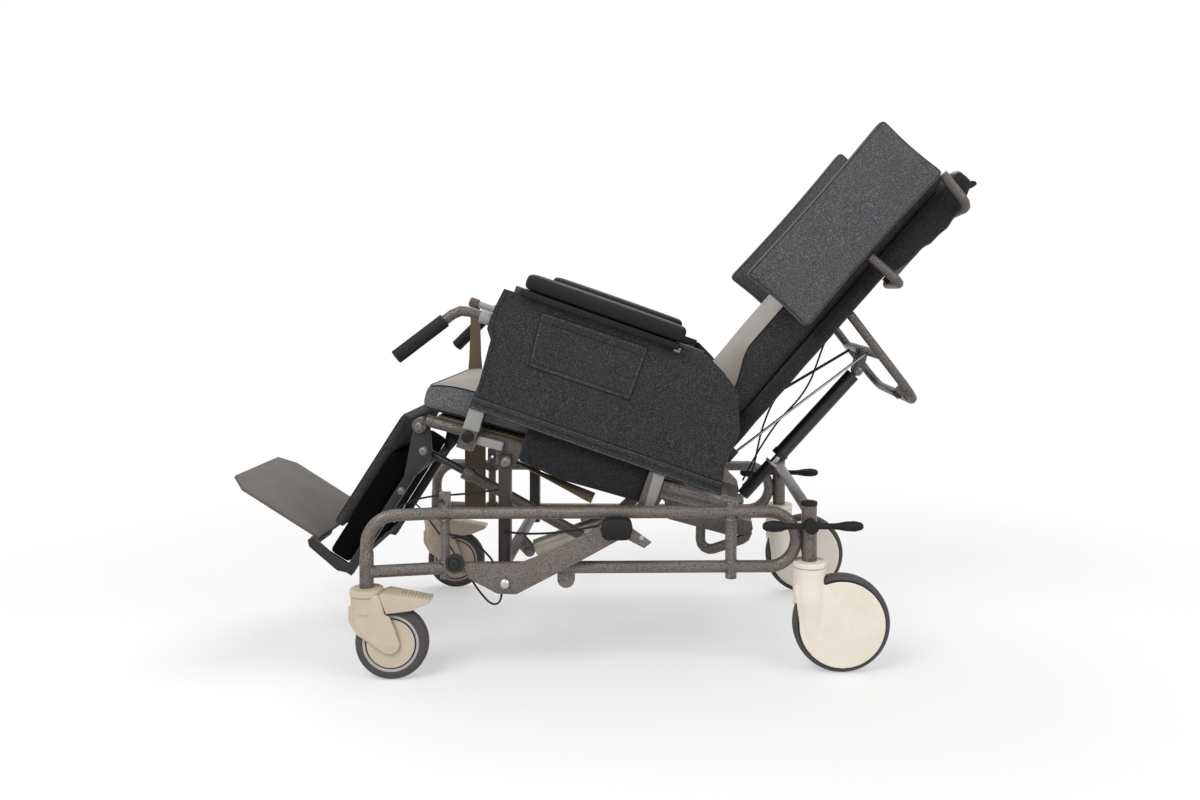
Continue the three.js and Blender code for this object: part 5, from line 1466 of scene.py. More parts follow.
@dataclass
class Base(Assembly):
    """Side frames, uprights, cross tubes, casters, locks, foot lever and tilt cylinder."""

    loop: tuple[Point, ...] = (
        (-460, 322, 261.8), (-460, 322, 331.5), (-306, 290, 331.5), (426.5, 277, 331.5), (426.5, 277, 217.5),
        (-306, 290, 217.5), (-460, 322, 217.5))
    loop_bends: tuple[float, ...] = (57, 90, 57, 57, 90)
    loop_straight: tuple[float, float] = (-395, 362)
    tube_radius: float = 12.7
    weld_track: float = 290
    weld_radius: float = 13.4
    weld_places: tuple[float, ...] = (-306, 290)
    weld_heights: tuple[float, ...] = (319.0, 231.5)
    weld_steps: int = 28
    lock_height: float = 308.0
    lock_track: float = 308.6
    pedal_tip: float = -427.7
    pedal_length: float = 101.7
    pedal_flare: float = 1.52
    first_rib: float = -388
    rib_pitch: float = 7.0
    rib_count: int = 9
    rib_half: tuple[float, float] = (1.6, 15)
    rib_sink: float = 1.2
    rib_height: float = 2.0
    leg_rise: tuple[float, float] = (58, 80)
    leg_thin: float = 0.34
    leg_swell: float = 0.66
    skirt_profile: Outline = (
        (180, 0), (180, 33.5), (150, 34.3), (128, 32.2), (108, 29.6), (90, 27), (76, 24.8), (66, 23.2), (62, 20),
        (60, 0))
    leg_outline: Outline = (
        (-474, 160), (-482, 137), (-476, 115), (-459, 92), (-421, 58), (-404, 55.5), (-391, 63), (-387.5, 77),
        (-396, 106), (-407, 133), (-416.5, 137), (-421.8, 160), (-428.5, 177), (-440, 176))
    hub_profile: Outline = (
        (-13.2, 5.4), (-13.2, 14), (-14, 20), (-14, 49.2), (-13.4, 49.9), (-11.6, 50.1), (-11.6, 52))
    tyre_profile: Outline = (
        (-12, 52.2), (-14.2, 52.6), (-14.6, 53.4), (-14.6, 56.8), (-14, 57.6), (-14, 60), (-13.6, 66), (-12, 70.6),
        (-9, 73.4), (-4.5, 75))
    tread_profile: Outline = (
        (-16, 6.4), (-16, 89.6), (-15, 90.4), (-15, 91.4), (-15.8, 92), (-15.6, 95), (-14, 98.6), (-10.5, 100.9),
        (-6, 101.6))
    front_collar: Outline = (
        (172.4, 28), (172.4, 32.8), (173.6, 33.9), (181.6, 33.9), (185, 32.6), (186.4, 29.6), (186.6, 28))
    front_groove: Outline = ((170.8, 28), (170.8, 32.3), (172.4, 32.3), (172.4, 28))
    rear_collar: Outline = (
        (219.8, 28), (219.8, 34.9), (220.8, 35.7), (228.8, 35.7), (230.6, 34.7), (231, 33), (230.8, 28))
    rear_groove: Outline = ((218.4, 28), (218.4, 34.7), (219.8, 34.7), (219.8, 28))
    post_cap: Outline = ((346, 0), (346, 16.9), (350, 17.4), (353.4, 16.6), (355, 13), (355.4, 0))
    lock_bar: Outline = (
        (-101, 0), (-100, 5.2), (-94, 9.6), (-80, 11.8), (-62, 10.8), (-52, 7.0), (-46, 6.3), (46, 6.3), (56, 7.2),
        (72, 10.0), (90, 10.8), (103, 8.0), (107.4, 4.0), (108, 0))
    lock_hub: Outline = ((-11.8, 0), (-11.8, 13.6), (-10.4, 15), (10.4, 15), (11.8, 13.6), (11.8, 0))

    def build(self) -> None:
        """Makes every piece of the base."""
        for side in Side:
            line = bent([(x, side.value * y, z) for x, y, z in self.loop], self.loop_bends)
            tube = (line, self.tube_radius, self.loop_straight)
            self.recut(f"side_frame_{side.word}", Kit.FRAME, "base", tube=tube)
            # The uprights take the darker frame paint, which is painted shade.
            self.recut(f"upright_{side.word}", Kit.FRAME_DARK, "base")
            self.welds(side)
            self.front_caster(side)
            self.rear_caster(side)
            self.lock(side)
        self.recut("base_cross_tube", Kit.FRAME, "base")
        self.recut("rear_cross_tube", Kit.FRAME, "base")
        self.recut("tilt_foot_lever", Kit.FRAME, "foot_lever")
        self.recut("tilt_foot_pad", Kit.RUBBER, "foot_lever", 2.0)
        self.recut("tilt_cylinder", Kit.WARM_SILVER, "tilt_barrel")
        self.recut("tilt_rod", Kit.CHROME, "tilt_piston")

    def welds(self, side: Side) -> None:
        """Lays the weld beads where the posts meet the frame tubes.

        Args:
            side: which side frame.
        """
        beads, steps, radius = [], range(self.weld_steps), self.weld_radius
        turns = [math.tau * step / self.weld_steps for step in steps]
        radii = [1 + 0.3 * math.sin(step * 2.4) for step in steps]
        for x in self.weld_places:
            for z in self.weld_heights:
                ring = [Vector((x + radius * math.cos(turn), side.value * self.weld_track + radius * math.sin(turn),
                                z + 0.7 * math.sin(turn * 9))) * MM for turn in turns]
                beads.append(Shop.pipe("bead", ring, 1.5, 8, closed=True, radii=radii))
        self.finish(Shop.join(f"weld_beads_{side.word}", beads), Kit.FRAME, "base")

    def fork(self, caster: Caster, side: Side) -> None:
        """Makes a moulded fork: its cheeks swell into the neck and its edges are soft.

        Args:
            caster: which size.
            side: which one.
        """
        node = f"{caster.word}_caster_fork_{side.word}"
        middle = side.value * caster.track
        parts = [self.copy_of(node)]
        if caster is Caster.REAR:
            parts.append(self.skirt(caster, middle))
            for hand in (-1, 1):
                ends = [Vector((caster.axle[0], middle + hand * out, caster.axle[1])) * MM for out in (18, 23)]
                parts.append(Shop.drum("cheek", ends[0], ends[1], 89.8, 96))
        else:
            parts += [self.leg(middle, hand) for hand in (-1, 1)]
        piece = Shop.join(node + "_finished", parts)
        Shop.modify(piece, "REMESH", mode="VOXEL", voxel_size=1.7 * MM)
        Shop.modify(piece, "SMOOTH", factor=0.5, iterations=12 if caster is Caster.REAR else 5)
        Shop.smooth(piece, 80)
        self.finish(piece, caster.kit, f"{caster.word}_caster_{side.letter}", node)

    def skirt(self, caster: Caster, middle: float) -> bpy.types.Object:
        """Makes the round swell that carries the rear neck down into both cheeks.

        Args:
            caster: the rear caster.
            middle: its Y.

        Returns:
            The swell, with room for the wheel.
        """
        skirt = Shop.lathe("skirt", self.skirt_profile, Vector((caster.post, middle, 0)) * MM, UP, 72)
        (x, z), half = caster.axle, Vector((0, caster.room, 0)) * MM
        hole = Vector((x, middle, z)) * MM
        room = Shop.drum("room", hole - half, hole + half, caster.wheel + 3, 96)
        Shop.modify(skirt, "BOOLEAN", object=room, operation="DIFFERENCE", solver="EXACT")
        bpy.data.objects.remove(room)
        return skirt

    def leg(self, middle: float, hand: int) -> bpy.types.Object:
        """Makes the thick part of one front leg.

        Args:
            middle: the caster's Y.
            hand: which of its two legs, 1 or -1.

        Returns:
            The leg.
        """
        inner = middle + hand * Caster.FRONT.room

        def taper(point: Vector) -> Vector:
            """Thins the leg towards its foot."""
            rise = passed(point.z, *self.leg_rise) ** 1.3
            point.y = inner + (point.y - inner) * (self.leg_thin + self.leg_swell * rise)
            return point

        return Shop.reshape(Shop.plate("leg", self.leg_outline, inner, inner + hand * 9.5, 2.0, 12), taper)

    def turned(self, name: str, half: Outline, caster: Caster, side: Side, kit: Kit, node: str,
               other: Kit, test: Callable[[float, float], bool]) -> None:
        """Makes a wheel or a tyre from half of its outline.

        Args:
            name: its name.
            half: the outline (along, radius) on one side of the middle.
            caster: which size of caster.
            side: which one.
            kit: its finish.
            node: the node that it replaces.
            other: the finish of some of its faces.
            test: tells from a face's distance along and about the axle whether it takes that finish.
        """
        middle = Vector((caster.axle[0], side.value * caster.track, caster.axle[1])) * MM
        profile = [*half, *((-along, radius) for along, radius in reversed(half))]
        piece = Shop.lathe(name, profile, middle, ACROSS, 96)
        piece.data.materials.append(kit.material())
        piece.data.materials.append(other.material())
        for face in piece.data.polygons:
            spot = (face.center - middle) / MM
            if test(abs(spot.y), math.hypot(spot.x, spot.z)):
                face.material_index = 1
        self.finish(piece, kit, f"{caster.word}_wheel_{side.letter}", node)

    def ring(self, name: str, profile: Outline, caster: Caster, side: Side, kit: Kit, body: str) -> None:
        """Makes a turned ring on a caster's post.

        Args:
            name: its name.
            profile: its outline (height, radius).
            caster: which size of caster.
            side: which one.
            kit: its finish.
            body: the body that it moves with.
        """
        foot = Vector((caster.post, side.value * caster.track, 0)) * MM
        self.finish(Shop.lathe(f"{name}_{side.word}", profile, foot, UP, 72), kit, body)

    def front_caster(self, side: Side) -> None:
        """Makes one front caster.

        Args:
            side: which one.
        """
        size, body = Caster.FRONT, f"front_caster_{side.letter}"
        self.fork(size, side)
        self.ring("front_fork_collar", self.front_collar, size, side, Kit.BEIGE, body)
        self.ring("front_fork_groove", self.front_groove, size, side, Kit.HUB, body)
        self.brake(side)
        self.turned(f"front_hub_{side.word}", self.hub_profile, size, side, Kit.BEIGE, f"front_wheel_{side.word}",
                    Kit.BLACK_STEEL, lambda along, out: out > 49.5)
        self.turned(f"front_tyre_{side.word}_moulding", self.tyre_profile, size, side, Kit.TREAD,
                    f"front_tyre_{side.word}", Kit.RIM, lambda along, out: out < 57.2)

    def brake(self, side: Side) -> None:
        """Makes one front brake pedal with its ribs.

        Args:
            side: which one.
        """
        pedal, body = f"front_brake_pedal_{side.word}", f"front_brake_{side.letter}"
        middle = side.value * Caster.FRONT.track

        def widen(point: Vector) -> Vector:
            """Widens the pedal towards the neck."""
            share = (point.x - self.pedal_tip) / self.pedal_length
            point.y = middle + (point.y - middle) * (self.pedal_flare - 0.34 * share)
            return point

        piece = Shop.ease(Shop.reshape(self.copy_of(pedal), widen), 1.4, 3)
        self.finish(piece, Kit.BEIGE, body, pedal)
        ribs, (half, reach) = [], self.rib_half
        for number in range(self.rib_count):
            along = self.first_rib + number * self.rib_pitch
            spot = self.landing(pedal, (along, middle, 400), (0, 0, -1))
            if spot is not None:
                height = spot.z / MM
                low = (along - half, middle - reach, height - self.rib_sink)
                high = (along + half, middle + reach, height + self.rib_height)
                ribs.append(Shop.ease(Shop.block("rib", low, high), 0.7))
        self.finish(Shop.join(f"pedal_ribs_{side.word}", ribs), Kit.BEIGE, body)

    def rear_caster(self, side: Side) -> None:
        """Makes one rear caster.

        Args:
            side: which one.
        """
        size, body = Caster.REAR, f"rear_caster_{side.letter}"
        self.fork(size, side)
        self.turned(f"rear_wheel_{side.word}_moulding", self.tread_profile, size, side, Kit.TREAD,
                    f"rear_wheel_{side.word}", Kit.BLACK_STEEL, lambda along, out: out < 91.6)
        self.ring("rear_fork_collar", self.rear_collar, size, side, Kit.IVORY, body)
        self.ring("rear_fork_groove", self.rear_groove, size, side, Kit.HUB, body)
        self.ring("post_cap", self.post_cap, size, side, Kit.RUBBER, "base")

    def lock(self, side: Side) -> None:
        """Makes one lock pedal with its shaft.

        Args:
            side: which one.
        """
        body = f"rear_lock_{side.letter}"
        self.recut(f"lock_shaft_{side.word}", Kit.BLACK_STEEL, body)
        middle = Vector((Caster.REAR.post, side.value * self.lock_track, self.lock_height)) * MM
        bar = Shop.lathe("bar", self.lock_bar, middle, AHEAD, 32)
        hub = Shop.lathe("hub", self.lock_hub, middle, ACROSS, 40)
        self.finish(Shop.join(f"lock_pedal_{side.word}_moulding", [bar, hub]), Kit.RUBBER, body,
                    f"lock_pedal_{side.word}")


# Seat


@dataclass
class Seat(Upholstery):
    """Seat frame, deck, cushion and side rolls."""

    deck: tuple[float, float] = (0.448, 0.55)
    side_strap: tuple[float, float] = (0.025, 0.187)
    rear_bracket: tuple[float, float] = (310, 338)
    front_bracket: tuple[float, float] = (-112, -70)
    bracket_height: float = 48
    bracket_track: float = 236.5
    tail_height: float = 6
    roll_span: tuple[float, float] = (24.0, 304.0)
    roll_foot: float = -10.0
    roll_lift: float = 18
    roll_rise: tuple[float, float] = (24, 110)
    nose_reach: float = 90
    nose_drop: float = 16
    sleeve_track: tuple[float, float] = (235.5, 252)
    stuffing: Stuffing = Stuffing(thin=2, soft=24, crown=6, pull=3, cell=11, press=4, cap=7, cord=1.7)
    roll_stuffing: Stuffing = Stuffing(thin=1, soft=7.5, crown=1, pull=2, cell=9)

    def build(self) -> None:
        """Makes every piece of the seat."""

        def bracket(point: Vector) -> bool:
            """Tells whether a point lies on the pale arm brackets."""
            spot, (a, b), (c, d) = SEAT.spot(point), self.rear_bracket, self.front_bracket
            held = a < spot.x < b or c < spot.x < d and spot.z > self.bracket_height
            return held and abs(spot.y) > self.bracket_track

        def tail(point: Vector) -> bool:
            """Tells whether a point lies on the rails' rear ends, which carry a painted highlight."""
            spot = SEAT.spot(point)
            return spot.x >= self.rear_bracket[1] and spot.z > self.tail_height

        cuts = [(SEAT, 0, place) for place in (*self.rear_bracket, *self.front_bracket)]
        cuts += [(SEAT, 2, height) for height in (self.bracket_height, self.tail_height)]
        # The rails' rear ends take the lighter frame paint as a painted highlight.
        self.recut("seat_frame", Kit.FRAME_SHADE, "seat", paint=[(Kit.FRAME_BRIGHT, tail), (Kit.BRACKET, bracket)],
                   cuts=cuts)
        deck = self.recut("seat_webbing", Kit.OLIVE, "seat", 0.6)
        low, high = self.extent("seat_cushion", SEAT)

        def nose(point: Vector) -> Vector:
            """Rolls the front edge down."""
            ahead = max(0.0, (low.x + self.nose_reach - point.x) / self.nose_reach)
            point.z -= self.nose_drop * ahead ** 2.2 * (point.z - low.z) / (high.z - low.z)
            return point

        self.stuffed("seat_cushion_cover", low, high, self.stuffing, "seat", SEAT,
                     (Kit.CLOTH_LIGHT, Kit.CLOTH, Kit.TAUPE), "seat_cushion", shape=nose, fill=0.7,
                     trim=Kit.CLOTH_DEEP)
        self.edging()
        for side in Side:
            low, high = self.extent(f"side_roll_{side.word}", SEAT)
            (low.x, high.x), low.z = self.roll_span, self.roll_foot

            def sag(point: Vector, low: Vector = low, high: Vector = high) -> Vector:
                """Lifts the roll's lower edge at its front."""
                depth = (high.z - point.z) / (high.z - low.z)
                point.z += self.roll_lift * depth * (1 - ramp(point.x, *self.roll_rise))
                return point

            self.stuffed(f"side_roll_cover_{side.word}", low, high, self.roll_stuffing, "seat", SEAT,
                         (Kit.CLOTH_DEEP,), f"side_roll_{side.word}", shape=sag, fill=0.8)
            inner, outer = side.span(*self.sleeve_track)
            self.slab(f"rail_sleeve_{side.word}", (-70, inner, 20), (-14, outer, 38), 2.0, 3, Kit.BRACKET, "seat",
                      SEAT)

    def edging(self) -> None:
        """Makes the olive strap that runs back below the near roll."""
        half, length = self.side_strap[0] / MM / 2, self.side_strap[1] / MM

        def twist(point: Vector) -> Vector:
            """Turns the strap over towards its rear end."""
            turn = (point.x / length) ** 2
            across, up = point.y, point.z
            return Vector((point.x, across * math.cos(turn) - up * math.sin(turn) - 221,
                           across * math.sin(turn) + up * math.cos(turn)))

        strap = Shop.block("seat_side_strap", (0, -half, -0.9), (length, half, 0.9), (26, 5, 1))
        Shop.reshape(strap, twist)
        self.finish(strap, Kit.OLIVE, "seat", bench=Bench(-0.172, 0.427, 24.9))


# Arms


@dataclass
class Arms(Upholstery):
    """Armrests with their pads, fabric side panels, knobs, handles and the hanging strap."""

    outline: Outline = (
        (-110, 86), (454, 87), (442, 146), (448, 226), (415, 306), (374, 334), (330, 356),
        (-122, 347), (-128, 296), (-128, 256), (-113, 236), (-106, 140))
    pocket: Outline = ((-29, 326), (-18, 212), (204, 215), (205, 329))
    hem: Outline = ((-109, 87.5), (452.5, 88.5), (447, 112), (-107.5, 110))
    strap: tuple[float, float] = (0.054, 0.56)
    plate_height: float = 345.2
    tray_track: tuple[float, float] = (213.5, 283)
    tip_track: tuple[float, float] = (250, 281)
    cloth_thick: float = 9
    cloth_cell: float = 13
    pad_stuffing: Stuffing = Stuffing(thin=2, soft=12, crown=2, pull=0, cell=8)

    def build(self) -> None:
        """Makes every piece of both arms."""
        for side in Side:
            body = f"arm_{side.letter}"
            self.recut(f"arm_frame_{side.word}", Kit.BRACKET, body, 1.0, 40, [
                (Kit.BLACK_STEEL, lambda point: ARM.spot(point).z > self.plate_height)])
            self.recut(f"arm_knob_{side.word}", Kit.RUBBER, f"arm_knob_{side.letter}", 1.0)
            self.recut(f"handle_tube_{side.word}", Kit.FRAME_SHADE, f"handle_{side.letter}")
            self.recut(f"handle_grip_{side.word}", Kit.RUBBER, f"handle_{side.letter}", 1.6)
            low, high = self.extent(f"arm_pad_{side.word}", ARM)
            self.stuffed(f"arm_pad_cover_{side.word}", low, high, self.pad_stuffing, body, ARM,
                         (Kit.BLACK_VINYL,), f"arm_pad_{side.word}", fill=0.9)
            inner, outer = side.span(*self.tray_track)
            self.slab(f"arm_pad_tray_{side.word}", (-86, inner, 346), (268, outer, 361), 3.5, 3, Kit.BLACK_VINYL,
                      body, ARM)
            inner, outer = side.span(*self.tip_track)
            self.slab(f"arm_pad_tip_{side.word}", (258, inner, 342), (272, outer, 352), 1.2, 2, Kit.ZINC, body, ARM)
            self.panel(side)
        strap = self.recut("hanging_strap", Kit.OLIVE, "arm_r", 0.4)

    @staticmethod
    def wave(x: float, z: float) -> float:
        """How far the panel's cloth stands out at a place.

        Args:
            x: along the arm, in millimetres.
            z: up the arm.

        Returns:
            The distance in millimetres.
        """
        broad = noise.noise(Vector((x / 150, z / 95, 3.1))) * 4.2
        fine = noise.noise(Vector((x / 60, z / 44, 9.4))) * 1.6
        front = max(0.0, 1 - (x + 128) / 150) * max(0.0, (z - 190) / 160)
        rear = max(0.0, (x - 200) / 130) * max(0.0, (z - 180) / 160)
        folds = math.sin((x * 0.8 + z) / 15) * 2.4 * front + math.sin((x * 0.9 + z * 1.3) / 19) * 2.2 * rear
        return broad + fine + folds

    def drape(self, piece: bpy.types.Object, side: Side, inner: float) -> bpy.types.Object:
        """Lets a piece of the panel follow its waves.

        Args:
            piece: the piece, lying straight on the arm's bench.
            side: which arm.
            inner: the distance from the middle up to which nothing moves.

        Returns:
            The same piece.
        """
        def move(point: Vector) -> Vector:
            """Moves one point."""
            share = passed(abs(point.y), inner, self.cloth_thick)
            point.y += side.value * self.wave(point.x, point.z) * share
            return point

        return Shop.reshape(piece, move)

    def panel(self, side: Side) -> None:
        """Makes one fabric side panel with its pocket, hem and stitching, and dark and pale cords along its seams as
        painted shadow lines and painted highlight lines.

        Args:
            side: which one.
        """
        body = f"arm_{side.letter}"
        low, high = self.extent(f"side_panel_{side.word}", ARM)
        inner, outer = (low.y, high.y - 3) if side is Side.RIGHT else (high.y, low.y + 3)
        cloth = Shop.plate(f"side_panel_cover_{side.word}", self.outline, inner, outer, 4.5, self.cloth_cell)
        self.drape(cloth, side, abs(inner))
        self.finish(cloth, Kit.CLOTH, body, f"side_panel_{side.word}", bench=ARM)
        for name, outline, rise in (("pocket", self.pocket, 2.6), ("hem", self.hem, 1.5)):
            part = Shop.plate(f"panel_{name}_{side.word}", outline, outer - side.value * 2,
                              outer + side.value * rise, 1.3, self.cloth_cell)
            self.drape(part, side, abs(inner))
            self.finish(part, Kit.CLOTH, body, bench=ARM)
        front = [(-97, 118), (-98, 140), (-104, 238), (-118, 262), (-119, 300), (-113, 338)]

        def pocket(reach: float) -> Outline:
            """Returns the pocket's outline as a closed line, moved outwards by a reach."""
            signs = ((-1, 1), (-1, -1), (1, -1), (1, 1))
            corners = [(x + reach * u, z + reach * w) for (x, z), (u, w) in zip(self.pocket, signs)]
            return [*corners, corners[0]]

        def trace(corners: Outline, rise: float) -> list[Vector]:
            """Lays a line on the panel's face, in metres."""
            dense = []
            for (x0, z0), (x1, z1) in zip(corners, corners[1:]):
                count = max(2, int(math.hypot(x1 - x0, z1 - z0) / 9))
                dense += [(x0 + (x1 - x0) * i / count, z0 + (z1 - z0) * i / count) for i in range(count)]
            dense.append(corners[-1])
            return [Vector((x, outer + side.value * (rise + self.wave(x, z)), z)) * MM for x, z in dense]

        # Dark cords beside the pocket, hem and front edge are painted shadow lines; the pale cords are painted
        # highlights on the raised seam edges.
        welts = [(pocket(1), 0.4, 1.9), ([(-30, 308), (206, 311)], 2.4, 1.1), ([(-19, 221), (204, 224)], 2.4, 1.1),
                 ([(-108, 113), (448, 115)], 0.2, 1.7), ([(-107, 100), (450, 101.5)], 1.4, 1.2), (front, 0.0, 1.1)]
        ridges = [(pocket(-2), 2.0, 1.0), ([(-108, 89), (452, 90)], 1.2, 1.2),
                  ([(-108, 110), (448, 111.5)], 1.2, 0.9)]
        rows = [(pocket(-5), 2.7), ([(-107, 93), (450, 94)], 1.6), ([(-107, 106), (448, 107.5)], 1.6)]
        for kit, name, parts in (
                (Kit.CLOTH_DEEP, "welts", [Shop.pipe("welt", trace(*row[:2]), row[2], 8) for row in welts]),
                (Kit.CLOTH_PALE, "ridges", [Shop.pipe("ridge", trace(*row[:2]), row[2], 8) for row in ridges]),
                (Kit.CLOTH_PALE, "stitching", [Shop.stitches("seam", trace(*row), 4.4, 1.7, 0.6) for row in rows])):
            self.finish(Shop.join(f"panel_{name}_{side.word}", parts), kit, body, bench=ARM)


# Back


@dataclass
class Back(Upholstery):
    """Back frame, cushion, cover, head pads with their brackets, push bar and recline parts."""

    cylinder_low: Point = (325.33, 0.0, 298.86)
    cylinder_high: Point = (606.68, 0.0, 606.24)
    waist_depth: float = 46
    stuffing: Stuffing = Stuffing(thin=0, soft=26, crown=6, pull=3, cell=12, press=4, cap=8, cord=1.7)
    pad_stuffing: Stuffing = Stuffing(thin=1, soft=14, crown=4, pull=5, cell=9, press=4, cap=6, cord=1.0)
    cover_stuffing: Stuffing = Stuffing(thin=0, soft=9, crown=1, pull=2, cell=14)
    flap_stuffing: Stuffing = Stuffing(thin=0, soft=7, crown=1, pull=4, cell=7)
    sleeve_profile: Outline = ((16, 8.2), (16, 13.4), (18, 14.6), (116, 14.6), (116, 8.2))
    ring_profile: Outline = ((116, 8.2), (116, 16.6), (117, 17.4), (120, 17.4), (121, 16.6), (121, 8.2))

    def build(self) -> None:
        """Makes every piece of the back."""
        self.recut("back_frame", Kit.FRAME_SHADE, "back")
        self.recut("push_bar", Kit.FRAME_SHADE, "back")
        low, high = self.extent("back_cushion", BACK)

        def waist(point: Vector) -> Vector:
            """Draws the cushion's front edges back at the occupant's waist."""
            depth = (high.x - point.x) / (high.x - low.x)
            point.x += self.waist_depth * depth * ramp(point.z, 290, -115) * ramp(abs(point.y), 135, 70)
            return point

        self.stuffed("back_cushion_cover", low, high, self.stuffing, "back", BACK,
                     (Kit.CLOTH, Kit.TAUPE, Kit.CLOTH_DEEP), "back_cushion", shape=waist, fill=0.7,
                     trim=Kit.CLOTH_DEEP)
        self.cover()
        for side in Side:
            self.recut(f"head_pad_bracket_{side.word}", Kit.FRAME_SHADE, "back")
            low, high = self.extent(f"head_pad_{side.word}", BACK)
            self.stuffed(f"head_pad_cover_{side.word}", low, high, self.pad_stuffing, "back", BACK,
                         (Kit.CLOTH_PALE,), f"head_pad_{side.word}", fill=0.8, trim=Kit.CLOTH)
        self.recut("recline_lever", Kit.BLACK_STEEL, "release_lever")
        self.recut("recline_cylinder", Kit.BLACK_STEEL, "recline_barrel")
        self.recut("recline_rod", Kit.CHROME, "recline_piston")
        self.sleeve()
        self.braces()

    def cover(self) -> None:
        """Makes the cloth that is pulled over the rear of the back frame, with its bunched upper end and its flap."""

        def bunch(point: Vector) -> Vector:
            """Bunches the cloth where the head pad brackets gather it."""
            rear, height = passed(point.x, -26, 20), ramp(point.z, 636, 110)
            between = ramp(point.z, 596, 30) * ramp(point.z, 852, -34) * ramp(abs(point.y), 126, 16)
            fold = noise.noise(Vector((point.y / 60, point.z / 34, 1.7)))
            ridge = math.sin(point.z / 11 + 2.2 * noise.noise(Vector((point.y / 90, point.z / 120, 4.0))))
            point.x += rear * (height * (10 + 6 * fold + 2.2 * ridge) + between * (19 + 5 * fold + 2 * ridge)
                               + 1.4 * fold)
            return point

        low, high = Vector((-33, -221, 64)), Vector((1.5, 221, 868))
        self.stuffed("back_frame_cover", low, high, self.cover_stuffing, "back", BACK,
                     (Kit.CLOTH_DEEP,), shape=bunch, fill=0.2)

        def tongue(point: Vector) -> Vector:
            """Draws the flap out to its tip."""
            share = max(0.0, (point.z - 836) / 44)
            point.x += 16 * share ** 1.3
            point.y += (point.y + 150) * -0.25 * share + 5 * noise.noise(point / 22)
            point.x += 2.5 * noise.noise(point / 16)
            return point

        self.stuffed("back_cover_flap", Vector((-6, -205, 830)), Vector((12, -112, 880)),
                     self.flap_stuffing, "back", BACK, (Kit.CLOTH_DEEP,), shape=tongue, fill=0.2)

    def sleeve(self) -> None:
        """Makes the black sleeve and its ring on the recline rod."""
        low, high = Vector(self.cylinder_low) * MM, Vector(self.cylinder_high) * MM
        for name, profile, kit in (("recline_sleeve", self.sleeve_profile, Kit.BLACK_STEEL),
                                   ("recline_ring", self.ring_profile, Kit.SILVER)):
            piece = Shop.lathe(name, profile, low, (high - low).normalized(), 48)
            self.finish(piece, kit, "recline_piston")

    def braces(self) -> None:
        """Makes the two brace rods between the pan and the push bar's plate."""
        self.slab("brace_lug", (-27, -95, 52), (33, -89, 86), 1.2, 2, Kit.BLACK_STEEL, "back", BACK)
        for name, start, end, radius, kit in (
                ("brace_rod_upper", (-27, 70, 58), (98, 70, 441), 3.4, Kit.BLACK_STEEL),
                ("brace_rod_lower", (25, -92, 69), (104, -92, 452), 3.0, Kit.SILVER)):
            rod = Shop.drum(name, Vector(start) * MM, Vector(end) * MM, radius, 20)
            self.finish(Shop.ease(rod, 0.6), kit, "back", bench=BACK)


# Legrest


@dataclass
class Legrest(Upholstery):
    """Legrest frame, calf pad, footplate and strut."""

    box_stuffing: Stuffing = Stuffing(thin=0, soft=5, crown=0, pull=1, cell=14)
    pad_stuffing: Stuffing = Stuffing(thin=0, soft=12, crown=3, pull=2, cell=10, press=3, cap=4, cord=1.4)

    def build(self) -> None:
        """Makes every piece of the legrest."""
        self.recut("legrest_frame", Kit.BLACK_STEEL, "legrest")
        low, high = self.extent("calf_pad_base", LEG)
        self.stuffed("calf_pad_box", low, high, self.box_stuffing, "legrest", LEG,
                     (Kit.FELT,), "calf_pad_base", fill=0.9)
        low, high = self.extent("calf_pad", LEG)
        self.stuffed("calf_pad_cover", low, high, self.pad_stuffing, "legrest", LEG,
                     (Kit.CLOTH, Kit.CLOTH_PALE, Kit.CLOTH), "calf_pad", fill=0.7, trim=Kit.CLOTH_DEEP)
        self.recut("footplate", Kit.FOOTPLATE, "foot_rest", 1.5)
        self.recut("leg_strut_tube", Kit.FRAME_SHADE, "strut_outer")
        self.recut("leg_strut_rod", Kit.BLACK_STEEL, "strut_inner")


# Small hardware


class Head(Enum):
    """How a fixing looks; the value is its turned outline as shares of its radius."""

    PAN = ((-0.25, 0.0), (-0.25, 1.3), (0.0, 1.3), (0.12, 1.2), (0.12, 0.98), (0.5, 0.9), (0.62, 0.72), (0.62, 0.42),
           (0.32, 0.36), (0.32, 0.0))
    DOME = ((-0.25, 0.0), (-0.25, 1.05), (0.1, 1.05), (0.34, 0.92), (0.58, 0.62), (0.7, 0.3), (0.73, 0.0))
    PORT = ((-0.3, 0.0), (-0.3, 1.0), (0.1, 1.0), (0.16, 0.9), (0.16, 0.0))
    BOSS = ((-0.1, 0.0), (-0.1, 1.0), (0.16, 1.0), (0.26, 0.92), (0.26, 0.7), (0.14, 0.64), (0.14, 0.5), (0.3, 0.46),
            (0.34, 0.36), (0.34, 0.2), (0.22, 0.16), (0.22, 0.0))


Fixing = tuple[str, str, str, float, float, float, Head, Kit]


